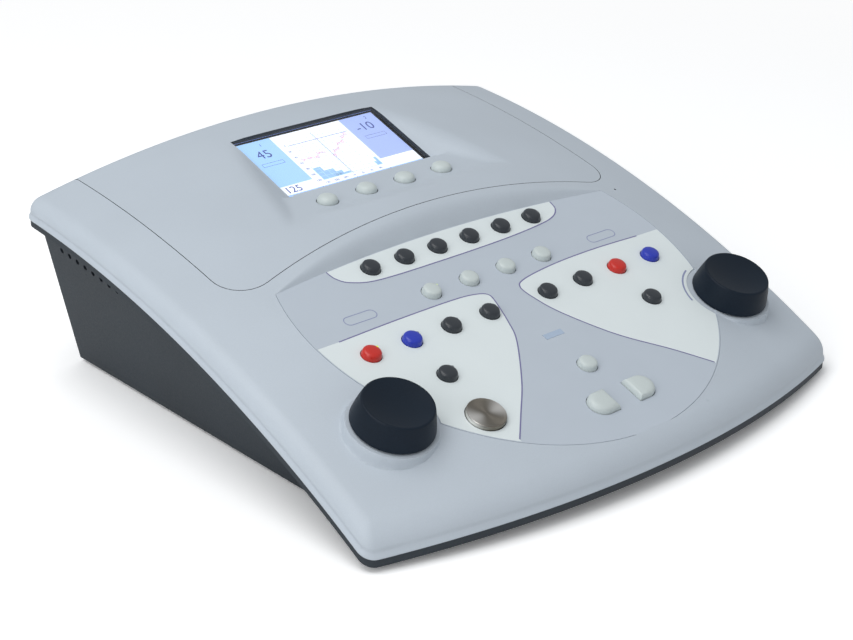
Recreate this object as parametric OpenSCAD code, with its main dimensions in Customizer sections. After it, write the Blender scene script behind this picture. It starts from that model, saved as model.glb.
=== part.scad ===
// Bench audiometer: a wedge-shaped console with a crowned cover, a tilted
// control panel, a sunken display and two large level knobs.
// Origin: middle of the footprint, on the surface it stands on. X runs to the
// user's right, Y to the back, Z up. Millimetres.

/* [Body] */
// Width of the cover over both long edges
body_w = 368; // [360:1:380]
// Depth of the cover from the front bow to the back edge
body_d = 352; // [346:1:360]
// Height of the cover's back edge in the middle
back_h = 134; // [130:1:140]
// Radius of the large sphere that the cover is a piece of
crown_r = 800; // [780:10:840]
// Distance from the back edge to the highest line of that sphere
crown_lead = 54.5; // [50:0.5:60]
// Radius of the front bow, seen from above
front_r = 520; // [480:10:600]
// Corner radius of the cover, seen from above
corner_r = 10; // [6:1:14]
// Wall of the cover
cover_wall = 3; // [2.5:0.1:3.5]
// Height of the cover's rim band
rim_h = 10; // [8:0.5:12]
// Rounding of the cover's upper edges
edge_r = 11; // [9:0.5:12]

/* [Control panel] */
// Tilt of the flat control panel
panel_tilt = 20; // [18:0.5:22]
// Place of the store key, measured back from the front edge
panel_front = 62; // [58:1:66]
// Height of the panel at the store key
panel_z = 49.5; // [48:0.5:51]
// Thickness of the printed overlay
overlay_t = 0.5; // [0.3:0.1:0.8]
// Wall of the panel's floor
floor_t = 2.5; // [2:0.1:3]
// Distance up the slope from the store key to the foot of the arch wall
arch_up = 131; // [129:0.5:134]
// Radius of the arch wall, seen square to the panel
arch_r = 930; // [800:10:1200]
// How far the arch wall leans back for each millimetre of its height
arch_lean = 1.2; // [0.8:0.1:1.5]

/* [Keys] */
// Radius of the round keys
key_r = 5.9; // [5.2:0.1:6.4]
// Height of the round keys over the panel
key_h = 4; // [3:0.1:5]
// Gap round each key
key_gap = 0.35; // [0.3:0.05:0.6]
// Travel of each key
key_travel = 1.5; // [1:0.1:1.8]
// Width of the hidden collar that holds a key in
key_collar = 1.3; // [1:0.1:2]
// Thickness of that collar
collar_t = 1.3; // [1:0.1:1.6]
// Spacing of the six function keys
function_pitch = 25.4; // [24:0.2:27]
// Place of the function keys up the slope
function_up = 118.8; // [116:0.2:120]
// Spacing of the grey mode keys
mode_pitch = 29; // [27:0.5:31]
// Place of the mode keys up the slope
mode_up = 87.2; // [85:0.2:90]
// Spacing of the channel keys
channel_pitch = 29; // [27:0.5:29.5]
// Distance of the innermost channel key from the middle
channel_in = 23; // [20:0.5:24]
// Place of the channel keys up the slope
channel_up = 58.8; // [56:0.2:62]
// Place of the two hold keys up the slope
hold_up = 28; // [26:0.5:30]
// Radius of the interrupter disc
disc_r = 11.25; // [10:0.25:12]
// Height of the interrupter disc
disc_h = 2.8; // [2:0.1:3.5]
// Distance of the interrupter from the middle
disc_x = 82.8; // [80:0.2:85]
// Place of the interrupter down the slope
disc_down = 6.5; // [5:0.5:8]
// Distance of the flat side of each frequency key from the middle
frequency_in = 8; // [6:0.5:9]
// Half the length of a frequency key's flat side
frequency_r = 8; // [7:0.2:8.6]
// Place of the frequency keys down the slope
frequency_down = 28; // [26:0.5:30]
// Radius of the status lights
light_r = 0.8; // [0.6:0.1:1]

/* [Knobs] */
// Distance of each knob from the middle
knob_x = 133; // [131:0.5:135]
// Place of the knobs up the slope
knob_up = 11.2; // [9:0.2:13]
// Radius of a knob at its foot
knob_foot_r = 23.3; // [22:0.1:24]
// Radius of a knob at its rim
knob_top_r = 19.9; // [18.5:0.1:20.5]
// Height of a knob
knob_h = 14.8; // [13:0.2:17]
// Depth of the dish in a knob's top
knob_dish = 2.4; // [1.5:0.1:3]
// Radius of the boss under a knob, at its top
boss_r = 25.5; // [24.5:0.1:26.5]
// Gap between a knob and its boss
knob_gap = 0.8; // [0.5:0.1:0.9]
// Radius of the knob's shaft
shaft_r = 3; // [2.5:0.1:3.5]
// Running clearance of the shaft in its bushing
shaft_play = 0.05; // [0.03:0.01:0.08]

/* [Display] */
// Half width of the display cover
pod_half_w = 150; // [146:1:152]
// Corner radius of the display cover
pod_corner_r = 20; // [16:1:24]
// Distance of the seam's middle from the back edge
pod_depth = 153; // [150:1:155]
// Radius of the arched front seam
pod_arch_r = 674; // [640:1:700]
// Wall of the display cover
pod_wall = 2.5; // [2.2:0.1:2.8]
// How far the display cover wraps down over the back edge
pod_skirt = 8; // [6:0.5:9]
// Width of the visible seam
seam_gap = 0.4; // [0.3:0.1:0.6]
// Tilt of the display
display_tilt = 19.5; // [18:0.5:21]
// Distance of the display's top edge from the back edge
display_back = 34.5; // [32:0.5:38]
// Half width of the opening over the display
display_half_w = 56.5; // [55:0.5:58]
// Height of that opening along its slope
display_h = 65.5; // [63:0.5:66]
// Wall of the display recess
recess_wall = 2.2; // [2:0.1:2.4]
// Thickness of the clear window
window_t = 0.8; // [0.6:0.1:1]
// Thickness of the display module
module_t = 6; // [5:0.5:7]
// Half width of the recess at the soft keys
ledge_half_w = 78.5; // [76:0.5:82]
// Radius of the soft keys
soft_r = 6.5; // [6:0.1:7]
// Spacing of the soft keys
soft_pitch = 30.1; // [29:0.1:31]
// Tilt of the ledge that carries the soft keys
ledge_tilt = 5; // [4:0.5:7]
// Distance of the soft keys from the back edge
soft_back = 116.5; // [115:0.5:118]
// Height of that ledge at the soft keys
ledge_z = 109.7; // [109:0.1:110.5]

/* [Lower case] */
// Half width of the lower case at its floor
case_half_w = 155.6; // [152:0.2:158]
// Lean of the side walls
case_lean = 11.5; // [10:0.5:13]
// Wall of the lower case
case_wall = 3; // [2.5:0.1:3.5]
// How far the lower case's front lies behind the cover's front bow
case_front = 24; // [20:1:28]
// How far the lower case's back lies before the cover's back edge
case_back = 4.5; // [4:0.1:6]
// Width of the dark gap between cover and lower case
gap_h = 0.7; // [0.5:0.1:0.9]
// Thickness of the case's flange
flange_t = 3.8; // [3:0.1:5]
// Number of vent holes on each side
vent_count = 8; // [4:1:10]
// Radius of a vent hole
vent_r = 1.7; // [1.2:0.1:2]
// Spacing of the vent holes
vent_pitch = 8.1; // [6:0.1:9]
// Height of the rubber feet below the case
foot_h = 2.5; // [2:0.1:3]
// Radius of the rubber feet
foot_r = 9; // [7:0.5:11]

/* [Connectors] */
// Half width of the rear connector plate
plate_half_w = 114; // [112:1:118]
// Height of the rear connector plate
plate_h = 40; // [38:1:42]
// Thickness of the rear connector plate
plate_t = 1.5; // [1:0.1:2]
// Number of jack sockets
jack_count = 6; // [4:1:6]
// Spacing of the jack sockets
jack_pitch = 20; // [19:0.5:21]
// Radius of a jack socket's bore
jack_r = 3.3; // [3.2:0.05:3.5]
// Length of a jack socket's bore
jack_l = 28; // [24:1:32]

/* [Hidden] */

// Sides of a full circle: fine on the large sphere, plain on small parts
fine = 256;
round = 48;
small = 24;
// A cut runs this far past the face that it opens
over = 1;
// Larger than anything in the object
huge = 400;

// Sphere of the cover
crown_y = body_d/2 + crown_lead;
crown_z = back_h - sqrt(crown_r*crown_r - crown_lead*crown_lead);
front_y = -body_d/2;
back_y = body_d/2;

// Bevel of the front edge: its lower line and its lean
front_bevel_z = 18.7;
front_bevel_slope = 0.57;

// Control panel
rim_gap = 0.3;
panel_y = front_y + panel_front;
panel_floor = -overlay_t - floor_t;
// Distance of the sphere's centre from the panel, and the round edge of the panel
panel_off = -(panel_y - crown_y)*sin(panel_tilt) + (panel_z - crown_z)*cos(panel_tilt);
panel_edge_r = sqrt(crown_r*crown_r - panel_off*panel_off);
panel_mid = (crown_y - panel_y)*cos(panel_tilt) + (crown_z - panel_z)*sin(panel_tilt);

// Keys
collar_top = 0.3;
mat_t = 1;
board_t = 1.6;
mat_gap = 0.6;
collar_low = panel_floor - collar_top - collar_t;
mat_top = collar_low - key_travel - mat_gap;
board_top = mat_top - mat_t;
board_r = panel_edge_r - 6;
board_front = -44;
board_back = arch_up - 4;
light_x = 7.3;
light_up = 4.2;
disc_collar_r = disc_r + key_collar;
key_edge = 0.8;
post_r = 3;
pilot_r = 1.2;
screw_play = 0.05;

function_places = [for (i = [0:5]) [(i - 2.5)*function_pitch, function_up]];
mode_places = [for (i = [0:3]) [(i - 1.5)*mode_pitch, mode_up]];
left_places = [
    for (i = [0:3]) [-(channel_in + i*channel_pitch), channel_up],
    [-(channel_in + 2*channel_pitch), hold_up]
];
right_places = [for (p = left_places) [-p.x, p.y]];
store_place = [0, 0];
round_places = concat(function_places, mode_places, left_places, right_places, [store_place]);
lit_places = concat(mode_places, left_places, right_places);
disc_place = [-disc_x, -disc_down];
post_places = [
    for (s = [-1, 1])
        for (p = [[100, 100], [66, 44], [30, 14], [52, -16]])
            [s*p.x, p.y]
];

// Knobs
boss_flare = 2.8;
boss_h = 14;
boss_floor_t = 3;
bushing_r = 4.5;
bushing_gap = 0.4;
nut_r = 6.5;
nut_t = 2;
encoder_w = 21;
encoder_t = 9;
hub_h = 3.5;
hub_r = 8;
shaft_up = 11;
shaft_low = -10;

// Display
display_y = back_y - display_back;
display_z = crown_z + sqrt(crown_r*crown_r - pow(display_y - crown_y, 2));
ledge_y = back_y - soft_back;
step_y = display_y - (display_h + 2)*cos(display_tilt);
ramp_tilt = -13;
ramp_back = 9;
facet_top = [display_half_w, display_y, display_z];
facet_low = facet_top - display_h*[0, cos(display_tilt), sin(display_tilt)];
facet_out = [ledge_half_w, ledge_y, ledge_z + 2.8];
facet_cross = cross(facet_low - facet_top, facet_out - facet_top);
facet_normal = facet_cross*(facet_cross.z < 0 ? -1 : 1)/norm(facet_cross);
ledge_seat = 0.2;
ledge_lap = 6;
window_top = -recess_wall;
window_lap = 2;
module_low = window_top - window_t - module_t;
module_lap = 5;
skin_reach = 16;
skin_gap = 0.3;
display_lip = 0.3;
bracket_t = 1.5;
bracket_half_w = 70;
bracket_band = 16;
bracket_places = [for (x = [-66, 66]) for (y = [-display_h + 16, -12]) [x, y]];
screw_depth = 4;
soft_board_half_w = 56;
soft_board_half_h = 7.5;
soft_board_gap = 4.4;
soft_board_top = -recess_wall - soft_board_gap;
soft_post_x = [-soft_pitch, 0, soft_pitch];
soft_post_r = 2.4;
soft_places = [for (i = [0:3]) [(i - 1.5)*soft_pitch, 0]];
microphone_place = [141.5, 1];
microphone_r = 3;
microphone_hole_r = 0.8;
microphone_boss_z = 80;

// Lower case
case_slope = tan(case_lean);
case_back_y = back_y - case_back;
case_front_r = front_r - case_front;
floor_z = foot_h + case_wall;
flange_top_r = crown_r - rim_h - gap_h;
flange_low_r = flange_top_r - flange_t;
case_top_r = flange_low_r + 1;
flange_in = 0.8;
tongue_in = 1.5;
tongue_t = 2;
tongue_h = 3;
tongue_y = [-125, 150];
vent_first = [22, 83];
vent_tilt = 9.1;
foot_places = [[130, 145], [-130, 145], [118, -105], [-118, -105]];
foot_sunk = 1;
column_r = 5.5;
column_bore_r = 3.3;
screw_r = 1.6;
screw_head_r = 3;
screw_head_h = 2.2;
screw_gap = 0.1;
screw_bite = 10;
screw_land = 6;
// Each column's place and the height where cover and case meet
columns = [
    [148, 150, 72], [-148, 150, 72], [148, 30, 60], [-148, 30, 60], [105, -128, 18], [-105, -128, 18]
];

// Rear connectors
plate_z = foot_h + 14 + plate_h/2;
plate_sunk = plate_t;
plate_lap = 5;
plate_gap = 0.3;
jack_first = -98;
jack_body = 15;
jack_nut_r = 5.6;
jack_nut_t = 2;
jack_wall = 3;
usb_x = 22;
usb_w = 12;
usb_h = 11;
usb_l = 16;
usb_wall = 1.2;
plate_split = (jack_first + (jack_count - 1)*jack_pitch + jack_body/2 + usb_x - usb_w/2)/2;
inlet_x = 92;
inlet_w = 27;
inlet_h = 20;
inlet_l = 20;
inlet_wall = 1.6;
inlet_pin_l = 10;
rocker_x = 60;
rocker_w = 11;
rocker_h = 18;
rocker_gap = 0.4;
rocker_tilt = 8;
rocker_in = 3;
rocker_out = 5;

// Boards
main_z = floor_z + 8;
board_hole_r = 1.5;
board_screw_l = 4;
main_w = 180;
main_d = 130;
main_x = -40;
main_y = 30;
power_w = 80;
power_d = 130;
power_x = 100;
speaker_r = 25;
speaker_h = 14;
speaker_place = [-70, -75];
floor_board_posts = [
    for (x = [-1, 1]) for (y = [-1, 1])
        for (b = [[main_x, main_w, main_d], [power_x, power_w, power_d]])
            [b[0] + x*(b[1]/2 - 6), main_y + y*(b[2]/2 - 6)]
];

// ---------- frames ----------

// Square to the control panel, with the store key at its origin
module on_panel(place = [0, 0]) {
    translate([0, panel_y, panel_z]) rotate([panel_tilt, 0, 0])
        translate([place.x, place.y, 0]) children();
}

// Square to the display, with the top edge of its opening at the origin
module on_display() {
    translate([0, display_y, display_z]) rotate([display_tilt, 0, 0]) children();
}

// Square to the ledge of the soft keys
module on_ledge(place = [0, 0]) {
    translate([0, ledge_y, ledge_z]) rotate([ledge_tilt, 0, 0])
        translate([place.x, place.y, 0]) children();
}

// Pointing out of the back of the case, with Z to the back
module on_back(x, z, y = case_back_y) {
    translate([x, y, z]) rotate([-90, 0, 0]) children();
}

// ---------- shared shapes ----------

// The cover's sphere, shrunk by in
module crown(in = 0) {
    translate([0, crown_y, crown_z]) sphere(crown_r - in, $fn = fine);
}

// What lies in a corner's sharp tip, outside its rounding
module corner_tip(centre, r, tip) {
    side = [tip.x, centre.y];
    toward = (tip.y > centre.y ? 1 : -1);
    difference() {
        polygon([centre, side, [tip.x, tip.y + toward*r], tip, [centre.x, tip.y + toward*r]]);
        translate(centre) circle(r, $fn = round*2);
    }
}

// The cover from above, drawn in from all round
module plan(in = 0) {
    half = body_w/2 - in;
    back = back_y - in;
    bow = front_r - in;
    bow_y = front_y + front_r;
    r = max(corner_r - in, 1);
    side_front = bow_y - sqrt(bow*bow - half*half);
    front_corner_y = bow_y - sqrt(pow(bow - r, 2) - pow(half - r, 2));
    difference() {
        intersection() {
            translate([-half, front_y - over]) square([2*half, back - front_y + over]);
            translate([0, bow_y]) circle(bow, $fn = fine);
        }
        for (s = [-1, 1]) {
            corner_tip([s*(half - r), back - r], r, [s*half, back]);
            front_tip(s, [half - r, front_corner_y], r, [half, side_front], [0, bow_y]);
        }
    }
}

// The sharp tip of a front corner, where the long edge meets the bow
module front_tip(s, centre, r, tip, bow_centre) {
    away = centre - bow_centre;
    touch = centre + r*away/norm(away);
    difference() {
        polygon([for (p = [centre, [tip.x, centre.y], tip + [0, -r], touch + r*away/norm(away), touch])
            [s*p.x, p.y]]);
        translate([s*centre.x, centre.y]) circle(r, $fn = round*2);
    }
}

// An upright prism of the plan
module block(in = 0) {
    translate([0, 0, -over]) linear_extrude(back_h + huge/4) plan(in);
}

// Points of the rounding between the cover's sphere and a flat face at distance d
// from the sphere's centre: [distance from the axis, place along the axis]
function edge_points(d, in) =
    let (r = edge_r - in, c = d - edge_r)
    let (out = sqrt(pow(crown_r - edge_r, 2) - c*c))
    let (last = atan2(out, c))
    concat([for (i = [0:4]) [out + r*sin(i*last/5), c + r*cos(i*last/5)]],
        [[out + (r + 0.1)*sin(last), c + (r + 0.1)*cos(last)]]);

// Turned solid that rounds the two long edges
module side_edges(in) {
    arc = edge_points(body_w/2, in);
    end = len(arc) - 1;
    far = crown_r + 2*edge_r;
    translate([0, crown_y, crown_z]) rotate([0, 90, 0]) rotate_extrude($fn = fine)
        polygon(concat([[0, body_w/2 - in]], arc, [[far, arc[end].y], [far, -arc[end].y]],
            [for (i = [end:-1:0]) [arc[i].x, -arc[i].y]], [[0, in - body_w/2]]));
}

// Turned solid that rounds the back edge
module back_edge(in) {
    arc = edge_points(-crown_lead, in);
    end = len(arc) - 1;
    far = crown_r + 2*edge_r;
    translate([0, crown_y, crown_z]) rotate([-90, 0, 0]) rotate_extrude($fn = fine)
        polygon(concat([[0, -crown_lead - in]], arc, [[far, arc[end].y], [far, -body_d*2], [0, -body_d*2]]));
}

// Cone that bevels the edge over the front bow
module front_edge(in) {
    low = front_bevel_z - in*front_bevel_slope;
    rise = back_h;
    translate([0, front_y + front_r, low - rise])
        cylinder(h = 2*rise, r1 = front_r - in + rise*front_bevel_slope,
            r2 = front_r - in - rise*front_bevel_slope, $fn = fine);
}

// The back of the cover as a solid lump, drawn in from the top and the back
module back_body(in = 0) {
    intersection() {
        block(in);
        crown(in);
        back_edge(in);
    }
}

// The cover as a solid lump, drawn in from all round
module body(in = 0) {
    intersection() {
        block(in);
        crown(in);
        side_edges(in);
        back_edge(in);
        front_edge(in);
    }
}

// A flat-sided piece that lies above a plane through p, facing n
module above(p, n, drop = 0) {
    translate(p - n*drop) rotate([-asin(n.y), atan2(n.x, n.z), 0])
        translate([-huge/2, -huge/2, 0]) cube([huge, huge, huge/2]);
}

function tilted(a) = [0, -sin(a), cos(a)];

// ---------- cover ----------

// The hollow over the control panel: above the overlay's underside, in front of the arch wall
module panel_hollow(drop = 0, grow = 0) {
    reach = 60;
    low = -overlay_t - drop;
    foot = arch_r + grow + low*arch_lean;
    intersection() {
        on_panel([0, arch_up - arch_r])
            translate([0, 0, low]) cylinder(h = reach, r1 = foot, r2 = foot + reach*arch_lean, $fn = fine);
        on_panel([0, panel_mid])
            translate([0, 0, low]) cylinder(h = reach, r = panel_edge_r + rim_gap, $fn = fine);
    }
}

module knob_boss() {
    translate([0, 0, -knob_gap - boss_h]) cylinder(h = boss_h, r1 = boss_r + boss_flare, r2 = boss_r, $fn = round*2);
}

// One key hole, open through the overlay and the floor
module key_hole(r, top = over) {
    translate([0, 0, panel_floor - over]) cylinder(h = -panel_floor + over + top, r = r, $fn = round);
}

module frequency_outline(s, grow = 0) {
    half = frequency_r + grow;
    translate([s*(frequency_in - grow), -frequency_down - half])
        mirror([s < 0 ? 1 : 0, 0]) square([frequency_r + grow, 2*half]);
    translate([s*(frequency_in + frequency_r), -frequency_down]) circle(half, $fn = round);
}

// All openings of the keys, lights and the response window
module panel_openings() {
    for (p = round_places) on_panel(p) key_hole(key_r + key_gap);
    for (p = lit_places) on_panel(p + [light_x, light_up]) key_hole(light_r + 0.15);
    on_panel(disc_place) key_hole(disc_r + key_gap);
    for (s = [-1, 1])
        on_panel() translate([0, 0, panel_floor - over])
            linear_extrude(-panel_floor + 2*over) frequency_outline(s, key_gap);
    on_panel() response_shape(0.1, panel_floor - over, over);
}

// The wide bar of the response light
module response_shape(grow, low, high) {
    translate([-7 - grow, 26.5 - grow, low]) cube([14 + 2*grow, 4 + 2*grow, high - low]);
}

// Outline of the display cover, from above
module pod_outline(in = 0) {
    half = pod_half_w - in;
    arch = pod_arch_r + in;
    arch_y = back_y - pod_depth - pod_arch_r;
    r = pod_corner_r - in;
    centre = [half - r, arch_y + sqrt(pow(arch + r, 2) - pow(half - r, 2))];
    start = atan2(arch_y - centre.y, -centre.x);
    arch_end = asin(centre.x/(arch + r));
    polygon(concat(
        [for (i = [-12:12]) [arch*sin(i*arch_end/12), arch_y + arch*cos(i*arch_end/12)]],
        [for (i = [1:8]) centre + r*[cos(start*(1 - i/8)), sin(start*(1 - i/8))]],
        [[half, back_y + over], [-half, back_y + over]],
        [for (i = [8:-1:1]) [-centre.x - r*cos(start*(1 - i/8)), centre.y + r*sin(start*(1 - i/8))]]
    ));
}

module pod_prism(in = 0) {
    linear_extrude(back_h + huge/4) pod_outline(in);
}

// A hollow post that hangs from the cover down to where the case's column ends
module cover_post(c) {
    translate([c.x, c.y, c.z]) cylinder(h = back_h, r = column_r, $fn = small);
}

module post_bore(c) {
    translate([c.x, c.y, c.z - over]) cylinder(h = screw_bite + over, r = screw_r + screw_gap, $fn = small);
}

// The opening under the display cover, through the skin alone
module pod_opening() {
    difference() {
        intersection() {
            pod_prism(ledge_lap);
            block(pod_wall + ledge_seat + cover_wall);
        }
        crown(pod_wall + ledge_seat + cover_wall + over);
    }
}

module top_cover() {
    seat = pod_wall + ledge_seat;
    color("#b4bec8") difference() {
        union() {
            // skin and rim
            difference() {
                body();
                body(cover_wall);
                crown(rim_h);
            }
            // tub under the control panel
            intersection() {
                body();
                panel_hollow(floor_t, cover_wall + floor_t*arch_lean);
            }
            // bosses of the knobs
            for (s = [-1, 1]) on_panel([s*knob_x, knob_up]) knob_boss();
            // ledge under the display cover
            difference() {
                intersection() {
                    back_body(seat);
                    pod_prism(-2);
                }
                back_body(seat + cover_wall);
                crown(rim_h);
            }
            // posts for the case screws
            intersection() {
                for (c = columns) cover_post(c);
                crown(over);
            }
            // posts for the key board
            for (p = post_places) on_panel(p) translate([0, 0, board_top])
                cylinder(h = -board_top - overlay_t - over, r = post_r, $fn = small);
            // boss of the microphone
            intersection() {
                translate([microphone_place.x, microphone_place.y, microphone_boss_z])
                    cylinder(h = back_h, r = microphone_r + 2, $fn = small);
                crown(over);
            }
        }
        panel_hollow();
        panel_openings();
        // pocket and opening of the display cover
        difference() {
            pod_prism();
            back_body(seat);
            crown(pod_skirt);
        }
        pod_opening();
        // hollow of each boss and its bushing hole
        for (s = [-1, 1]) on_panel([s*knob_x, knob_up]) {
            translate([0, 0, -knob_gap - boss_h - over])
                cylinder(h = boss_h + over - boss_floor_t, r = boss_r - cover_wall, $fn = round);
            translate([0, 0, -knob_gap - boss_floor_t - over])
                cylinder(h = boss_floor_t + 2*over, r = bushing_r + bushing_gap, $fn = small);
        }
        for (c = columns) post_bore(c);
        for (p = post_places) on_panel(p) post_pilot(board_top, overlay_t + floor_t);
        translate([microphone_place.x, microphone_place.y, microphone_boss_z - over])
            cylinder(h = back_h, r = microphone_hole_r, $fn = small);
    }
}

// A small screw's pilot hole, up from a post's end, that stops short of a surface
module post_pilot(low, short) {
    translate([0, 0, low - over]) cylinder(h = -low - short + over, r = pilot_r, $fn = small);
}

// ---------- display ----------

// The hollow over the display and the soft keys, let out by grow
module display_hollow(grow = 0) {
    intersection() {
        above(facet_top, facet_normal, grow);
        above([-facet_top.x, facet_top.y, facet_top.z], [-facet_normal.x, facet_normal.y, facet_normal.z], grow);
        union() {
            intersection() {
                above([0, display_y, display_z], tilted(display_tilt), grow);
                translate([-huge/2, step_y - grow, 0]) cube([huge, huge, huge]);
            }
            intersection() {
                above([0, ledge_y, ledge_z], tilted(ledge_tilt), grow);
                above([0, ledge_y - ramp_back, ledge_z - ramp_back*tan(ledge_tilt)], tilted(ramp_tilt), grow);
                translate([-huge/2, -huge/2, 0]) cube([huge, huge/2 + step_y + grow, huge]);
            }
        }
    }
}

module display_cover() {
    color("#b9c3cc") difference() {
        union() {
            difference() {
                intersection() {
                    back_body();
                    pod_prism(seam_gap/2);
                }
                back_body(pod_wall);
                crown(pod_skirt - seam_gap/2);
            }
            intersection() {
                crown();
                display_hollow(recess_wall);
            }
            // posts for the bracket and for the soft-key board
            intersection() {
                crown(over);
                union() {
                    for (p = bracket_places) on_display() translate([p.x, p.y, module_low]) rotate(90)
                        cylinder(h = huge/10, r = post_r, $fn = small);
                    for (x = soft_post_x) on_ledge([x, 0]) translate([0, 0, soft_board_top])
                        cylinder(h = soft_board_gap + over, r = soft_post_r, $fn = small);
                }
            }
        }
        display_hollow();
        on_display() translate([-display_half_w, -display_h, -module_t])
            cube([2*display_half_w, display_h - display_lip, huge/10]);
        for (p = soft_places) on_ledge(p) translate([0, 0, -recess_wall - over])
            cylinder(h = recess_wall + 2*over, r = soft_r + key_gap, $fn = round);
        for (p = bracket_places) on_display() translate([p.x, p.y, module_low - over])
            cylinder(h = screw_depth + over, r = pilot_r, $fn = small);
        for (x = soft_post_x) on_ledge([x, 0]) translate([0, 0, soft_board_top - over])
            cylinder(h = screw_depth + over, r = pilot_r, $fn = small);
    }
}

// A flat block under the display opening, wider than it by lap, except where the cover's skin comes down behind
module under_opening(lap, low, thick) {
    on_display() {
        translate([-display_half_w - lap, -display_h - lap, low])
            cube([2*(display_half_w + lap), display_h + lap - skin_reach, thick]);
        translate([-display_half_w + skin_gap, -display_h, low])
            cube([2*(display_half_w - skin_gap), display_h - display_lip - skin_gap, thick]);
    }
}

module display_window() {
    color("#dfe9f2") under_opening(window_lap, window_top - window_t, window_t);
}

module display_module() {
    color("#2c3036") under_opening(module_lap, module_low, module_t);
}

module display_bracket() {
    low = module_low - bracket_t;
    color("#a9adb2") on_display() difference() {
        translate([-bracket_half_w, -display_h - module_lap, low])
            cube([2*bracket_half_w, display_h + module_lap, bracket_t]);
        translate([-bracket_half_w + bracket_band, -display_h - module_lap + bracket_band, low - over])
            cube([2*(bracket_half_w - bracket_band), display_h + module_lap - 2*bracket_band, bracket_t + 2*over]);
        for (p = bracket_places) translate([p.x, p.y, low - over])
            cylinder(h = bracket_t + 2*over, r = board_hole_r, $fn = small);
    }
}

module soft_key_board() {
    color("#2f6b45") on_ledge() difference() {
        translate([-soft_board_half_w, -soft_board_half_h, soft_board_top - board_t])
            cube([2*soft_board_half_w, 2*soft_board_half_h, board_t]);
        for (x = soft_post_x) translate([x, 0, soft_board_top - board_t - over])
            cylinder(h = board_t + 2*over, r = board_hole_r, $fn = small);
    }
}

// ---------- panel ----------

module panel_overlay() {
    color("#b5bfca") difference() {
        intersection() {
            panel_hollow();
            on_panel() translate([-huge/2, -huge/2, -overlay_t]) cube([huge, huge, overlay_t]);
            on_panel([0, panel_mid]) translate([0, 0, -overlay_t]) cylinder(h = overlay_t, r = panel_edge_r - rim_gap, $fn = fine);
        }
        panel_openings();
        for (s = [-1, 1]) on_panel([s*knob_x, knob_up])
            translate([0, 0, -overlay_t - over]) cylinder(h = overlay_t + 2*over, r = boss_r + 1.2, $fn = round*2);
    }
}

// The key board's outline, drawn in by in
module inner_panel_outline(in) {
    difference() {
        intersection() {
            translate([0, panel_mid]) circle(board_r - in, $fn = round*2);
            translate([-huge/2, board_front + in]) square([huge, board_back - board_front - 2*in]);
        }
        for (s = [-1, 1]) translate([s*knob_x, knob_up]) circle(boss_r + boss_flare + 2 + in, $fn = round);
    }
}

module key_mat() {
    color("#6f767d") on_panel() difference() {
        union() {
            translate([0, 0, board_top]) linear_extrude(mat_t) inner_panel_outline(3);
            for (p = concat(round_places, [disc_place]))
                translate([p.x, p.y, board_top]) cylinder(h = mat_t + mat_gap - 0.3, r = 3, $fn = small);
        }
        for (p = lit_places) translate([p.x + light_x, p.y + light_up, board_top - over])
            cylinder(h = mat_t + 2*over, r = light_r + 0.5, $fn = small);
        for (p = post_places) translate([p.x, p.y, board_top - over])
            cylinder(h = mat_t + 2*over, r = post_r + 0.5, $fn = small);
        response_shape(0.5, board_top - over, over);
    }
}

module key_board() {
    color("#2f6b45") on_panel() difference() {
        translate([0, 0, board_top - board_t]) linear_extrude(board_t) inner_panel_outline(0);
        for (p = post_places) translate([p.x, p.y, board_top - board_t - over])
            cylinder(h = board_t + 2*over, r = board_hole_r, $fn = small);
    }
}

module status_lights() {
    color("#c9e85a") for (p = lit_places) on_panel(p + [light_x, light_up])
        translate([0, 0, board_top]) cylinder(h = -board_top + 0.2, r = light_r, $fn = small);
}

module response_window() {
    color("#9fb4c6") on_panel() response_shape(0, board_top, 0.1);
}

// ---------- keys ----------

// Profile of a round key: collar under the floor, straight skirt, soft shoulder, low dome
function key_profile(r, h, edge, rise) = concat(
    [[0, collar_low], [r + key_collar, collar_low], [r + key_collar, collar_low + collar_t],
        [r, collar_low + collar_t]],
    [for (a = [0:15:90]) [r - edge + edge*cos(a), h - rise - edge + edge*sin(a)]],
    [[0, h]]
);

module round_key(place, tint, r = key_r, h = key_h) {
    color(tint) on_panel(place) rotate_extrude($fn = round) polygon(key_profile(r, h, 1.2, 0.4));
}

module frequency_key(s) {
    color("#c3ccca") on_panel() {
        translate([0, 0, collar_low]) linear_extrude(collar_t) frequency_outline(s, key_collar);
        translate([0, 0, collar_low]) linear_extrude(key_h - key_edge - collar_low) frequency_outline(s);
        translate([0, 0, collar_low]) linear_extrude(key_h - collar_low) frequency_outline(s, -key_edge);
    }
}

module interrupter_key() {
    color("#a39c90") on_panel(disc_place) rotate_extrude($fn = round*2)
        polygon([[0, collar_low], [disc_collar_r, collar_low], [disc_collar_r, collar_low + collar_t],
            [disc_r, collar_low + collar_t], [disc_r, disc_h - 0.6], [disc_r - 0.6, disc_h], [0, disc_h - 0.5]]);
}

// Profile of a soft key: a dome on a short skirt
function dome_profile(r, h, low) = concat(
    [[0, low], [r + key_collar, low], [r + key_collar, low + collar_t], [r, low + collar_t]],
    [for (a = [0:10:90]) [r*cos(a), 0.8 + (h - 0.8)*sin(a)]]
);

module soft_key(i) {
    low = -recess_wall - collar_top - collar_t;
    color("#c3ccc6") on_ledge(soft_places[i]) rotate_extrude($fn = round)
        polygon(dome_profile(soft_r, key_h + 0.3, low));
}

// ---------- knobs ----------

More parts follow.
